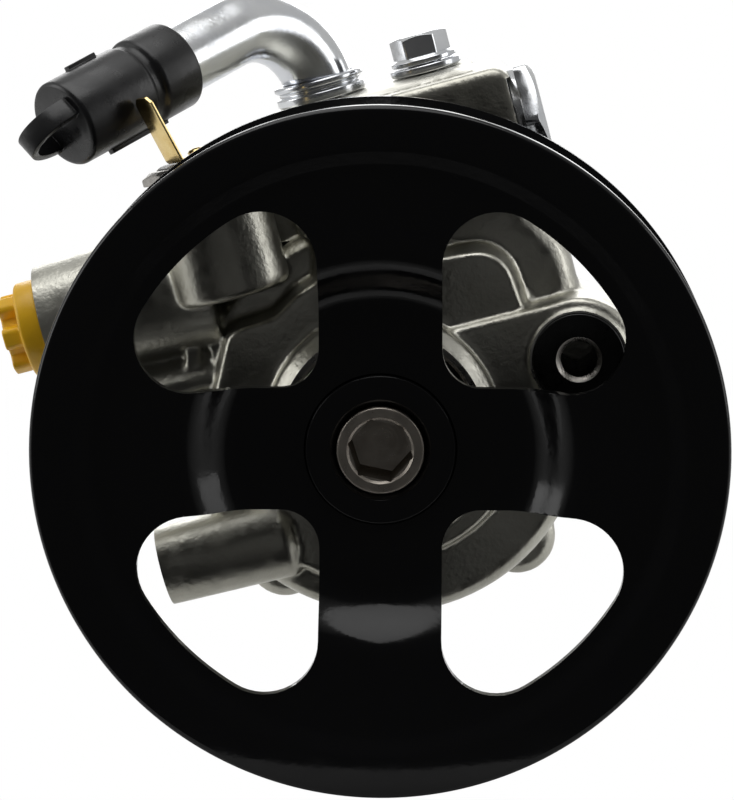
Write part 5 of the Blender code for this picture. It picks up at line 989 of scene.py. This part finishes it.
def make_terminal():
    spot = (SWITCH[0], 0.0, SWITCH[1])
    strip = Matrix.Rotation(-math.pi / 2, 4, "X")
    strip = Matrix.Rotation(TERMINAL_TURN, 4, "Y") @ strip
    low = 68.9
    bend_turn = math.pi / 2 + TERMINAL_LEAN
    inner = 0.5
    line = [Vector((3.2, low + TERMINAL_SHEET / 2)),
            Vector((-TERMINAL_REACH + 1.6, low + TERMINAL_SHEET / 2))]
    centre = Vector((-TERMINAL_REACH + 1.6, low + TERMINAL_SHEET / 2 + inner + TERMINAL_SHEET / 2))
    reach = inner + TERMINAL_SHEET / 2
    for step in range(1, 9):
        turn = (math.pi - bend_turn) * step / 8
        line.append(centre + reach * Vector((-math.sin(turn), -math.cos(turn))))
    ahead = (line[-1] - line[-2]).normalized()
    line.append(line[-1] + ahead * (TERMINAL_HEIGHT - 2.0))
    line.append(line[-1] + ahead * 1.4)
    widths = [TERMINAL_WIDTH] * (len(line) - 1) + [TERMINAL_WIDTH - 2.6]
    bm = bmesh.new()
    rows = []
    for index, (point, width) in enumerate(zip(line, widths)):
        before, after = line[max(index - 1, 0)], line[min(index + 1, len(line) - 1)]
        along = (after - before).normalized()
        side = Vector((-along.y, along.x)) * TERMINAL_SHEET / 2
        one, other = point + side, point - side
        rows.append([bm.verts.new((p.x, sign * width / 2, p.y)) for p, sign in (
            (one, -1), (one, 1), (other, 1), (other, -1))])
    for first, second in zip(rows, rows[1:]):
        for k in range(4):
            bm.faces.new((first[k], first[(k + 1) % 4], second[(k + 1) % 4], second[k]))
    bm.faces.new(rows[0])
    bm.faces.new(rows[-1])
    terminal = solid(bm, CASTING, spot, strip)
    bevelled(terminal, 0.15, 2, 25.0)
    dress("switch_terminal_form", terminal, "housing", "brass", ["switch_terminal"])


# Rubber cap with its pull strap

CAP_RADIUS = 9.9
CAP_LOW = -29.4
CAP_END = 4.5
TAB_TURN = math.radians(-65.0)
STRAP_HALF_WIDTH = 7.4
STRAP_REACH = 11.4
STRAP_SHEET = 1.8
STRAP_HALF_HEIGHT = 2.5
STRAP_SINK = 0.45
RIDGE_START = 8.0
SHORT_RIDGE = 8.0
LONG_RIDGE = 17.0


def make_cap():
    _, end, ahead = tube_route()
    turn = ahead.to_track_quat("Z", "Y").to_matrix().to_4x4()
    waist = CAP_LOW + 10.5
    cap = solid(turned(softened([
        (0.0, 1.5), (8.3, 1.5), (8.3, CAP_LOW), (10.2, CAP_LOW, 0.9), (10.2, waist, 1.6),
        (9.3, waist + 1.0, 1.6),
        (9.3, waist + 2.6, 1.6), (CAP_RADIUS, waist + 3.6, 1.6), (CAP_RADIUS, CAP_END, 1.2),
        (0.0, CAP_END)], 0.2, 6)), CASTING, end, turn)
    sweep = [math.pi * k / 32 for k in range(33)]
    base = CAP_END - STRAP_SINK
    strap = []
    for inset, turns in ((0.0, sweep), (STRAP_SHEET, sweep[::-1])):
        strap += [((STRAP_HALF_WIDTH - inset) * math.cos(t), base + (STRAP_REACH - inset) * math.sin(t))
                  for t in turns]
    tab = solid(prism(strap, -STRAP_HALF_HEIGHT, STRAP_HALF_HEIGHT), CASTING, end,
                turn @ Matrix.Rotation(TAB_TURN, 4, "Z") @ Matrix.Rotation(math.pi / 2, 4, "X"))
    ridges = []
    for side, reach in ((-1, SHORT_RIDGE), (1, LONG_RIDGE)):
        outline = [(side * (CAP_RADIUS + a), b)
                   for a, b in ((-1.0, -1.0), (1.0, -1.0), (1.0, 1.0), (-1.0, 1.0))]
        top = CAP_END - RIDGE_START
        ridges.append(solid(prism(outline, top - reach, top), CASTING, end, turn))
    combine(cap, [tab] + ridges, "UNION")
    bevelled(cap, 0.5, 3, 40.0)
    dress("tube_cap_form", cap, "cap", "rubber", ["tube_cap"])


# Yellow plug in the outlet

def make_port_plug():
    low = 69.2
    plug = solid(turned(softened([
        (0.0, low), (5.9, low), (5.9, low - 10), (7.4, low - 10, 0.2), (7.7, low - 9.7), (7.7, low),
        (11.0, low, 0.4),
        (11.0, low + 5.0, 0.9), (0.0, low + 5.0)], 0.1, 4)), CASTING, (0.0, PORT_Y, PORT_Z), ALONG_MINUS_X)
    pitch = TAU / 6
    corners = []
    for k in range(6):
        for radius, offset, round_off in ((6.6, -0.36, 0.5), (9.6, -0.25, 1.4), (9.6, 0.25, 1.4),
                                          (6.6, 0.36, 0.5)):
            turn = (k + offset) * pitch
            corners.append((radius * math.cos(turn), radius * math.sin(turn), round_off))
    knob = solid(prism(rounded(corners, 6), low + 4.4, low + 9.2), CASTING, (0.0, PORT_Y, PORT_Z),
                 ALONG_MINUS_X)
    combine(plug, [knob], "UNION")
    bevelled(plug, 0.5, 3, 40.0)
    dress("port_plug_form", plug, "plug", "yellow_plastic", ["port_plug"])


make_pulley()
make_hub()
make_shaft()
make_housing()
make_cover()
for index, spot in enumerate(BOLT_SPOTS):
    make_bolt(index + 1, spot)
make_bush()
make_valve_plug()
make_tube()
make_collar()
make_oilway_bolt()
make_switch()
make_terminal()
make_cap()
make_port_plug()

slots = {part["node"]: part["material_slot"] for part in frame["record"]["subparts"]}
for name, node in frame["nodes"].items():
    node.data.materials.clear()
    node.data.materials.append(FINISHES[slots[name]])


# Studio: pale floor, soft lamps, bright surroundings that are darker in front of the object

def shown_white(tree, other, strength_to):
    """Rays that show the surroundings straight see plain white there."""
    path = tree.nodes.new("ShaderNodeLightPath")
    mix = tree.nodes.new("ShaderNodeMixShader")
    white = tree.nodes.new("ShaderNodeBackground" if strength_to == "world" else "ShaderNodeEmission")
    white.inputs["Color"].default_value = (1.0, 1.0, 1.0, 1.0)
    white.inputs["Strength"].default_value = 1.0
    tree.links.new(path.outputs["Is Camera Ray"], mix.inputs["Fac"])
    tree.links.new(other, mix.inputs[1])
    tree.links.new(white.outputs[0], mix.inputs[2])
    return mix.outputs[0]


world = bpy.data.worlds.new("studio")
bpy.context.scene.world = world
world.use_nodes = True
tree = world.node_tree
place = tree.nodes.new("ShaderNodeTexCoord")
split = tree.nodes.new("ShaderNodeSeparateXYZ")
tree.links.new(place.outputs["Generated"], split.inputs["Vector"])
ramp = tree.nodes.new("ShaderNodeValToRGB")
remap = tree.nodes.new("ShaderNodeMapRange")
remap.inputs["From Min"].default_value = -1.0
tree.links.new(split.outputs["Y"], remap.inputs["Value"])
tree.links.new(remap.outputs["Result"], ramp.inputs["Fac"])
ramp.color_ramp.elements[0].position = 0.24
ramp.color_ramp.elements[0].color = (0.10, 0.10, 0.10, 1.0)
ramp.color_ramp.elements[1].position = 0.46
ramp.color_ramp.elements[1].color = (0.85, 0.85, 0.84, 1.0)
surround = tree.nodes["Background"]
tree.links.new(ramp.outputs["Color"], surround.inputs["Color"])
surround.inputs["Strength"].default_value = 0.6
tree.links.new(shown_white(tree, surround.outputs[0], "world"),
               tree.nodes["World Output"].inputs["Surface"])

# The floor ends a little ahead of the pulley, so that the gloss coat doesn't mirror it
FLOOR_HALF = 1.5
FLOOR_AHEAD = 0.125

floor_mesh = bpy.data.meshes.new("floor")
floor_bm = bmesh.new()
bmesh.ops.create_grid(floor_bm, x_segments=1, y_segments=1, size=FLOOR_HALF)
floor_bm.to_mesh(floor_mesh)
floor_bm.free()
floor = bpy.data.objects.new("floor", floor_mesh)
bpy.context.scene.collection.objects.link(floor)
floor.location = (0.0, FLOOR_HALF - FLOOR_AHEAD, cad_box[0].z - 0.0005)
floor_finish = finish("pale_floor", (0.85, 0.85, 0.85), 0.9)
floor_tree = floor_finish.node_tree
floor_shader = floor_tree.nodes["Principled BSDF"]
floor_tree.links.new(shown_white(floor_tree, floor_shader.outputs[0], "surface"),
                     floor_tree.nodes["Material Output"].inputs["Surface"])
floor_mesh.materials.append(floor_finish)


def softbox(name, location, target, size, power, colour=(1.0, 1.0, 1.0)):
    data = bpy.data.lights.new(name, "AREA")
    data.shape = "RECTANGLE"
    data.size, data.size_y = size
    data.energy = power
    data.color = colour
    lamp = bpy.data.objects.new(name, data)
    lamp.location = location
    lamp.rotation_euler = (Vector(target) - Vector(location)).to_track_quat("-Z", "Y").to_euler()
    bpy.context.scene.collection.objects.link(lamp)


softbox("lamp_top", (-0.1, -0.15, 0.9), (0.0, -0.05, 0.0), (0.9, 0.7), 3.6)
softbox("lamp_left", (-1.0, -0.15, 0.35), (0.0, -0.05, 0.0), (0.5, 0.7), 2.4)
softbox("lamp_right", (1.0, -0.1, 0.3), (0.0, -0.05, 0.0), (0.5, 0.7), 1.6)
softbox("lamp_back", (0.0, 0.9, 0.35), (0.0, 0.0, 0.0), (0.8, 0.6), 3.0)

# Camera: where the photograph was taken from

CAMERA_PLACE = Vector((0.0205, -0.876, 0.1345))
CAMERA_FORWARD = Vector((-0.026, 0.985, -0.17)).normalized()
FOCAL_PIXELS = 3708.0
IMAGE = (734, 800)
PRINCIPAL = (379.0, 457.0)
right = CAMERA_FORWARD.cross(Vector((0.0, 0.0, 1.0))).normalized()
up = right.cross(CAMERA_FORWARD)
data = bpy.data.cameras.new("camera")
data.sensor_width = 36.0
data.lens = FOCAL_PIXELS / IMAGE[1] * data.sensor_width
data.shift_x = (IMAGE[0] / 2 - PRINCIPAL[0]) / IMAGE[1]
data.shift_y = (PRINCIPAL[1] - IMAGE[1] / 2) / IMAGE[1]
camera = bpy.data.objects.new("camera", data)
camera.matrix_world = Matrix((
    (right.x, up.x, -CAMERA_FORWARD.x, CAMERA_PLACE.x),
    (right.y, up.y, -CAMERA_FORWARD.y, CAMERA_PLACE.y),
    (right.z, up.z, -CAMERA_FORWARD.z, CAMERA_PLACE.z),
    (0.0, 0.0, 0.0, 1.0)))
bpy.context.scene.collection.objects.link(camera)
bpy.context.scene.camera = camera
bpy.context.scene.view_settings.view_transform = "Standard"
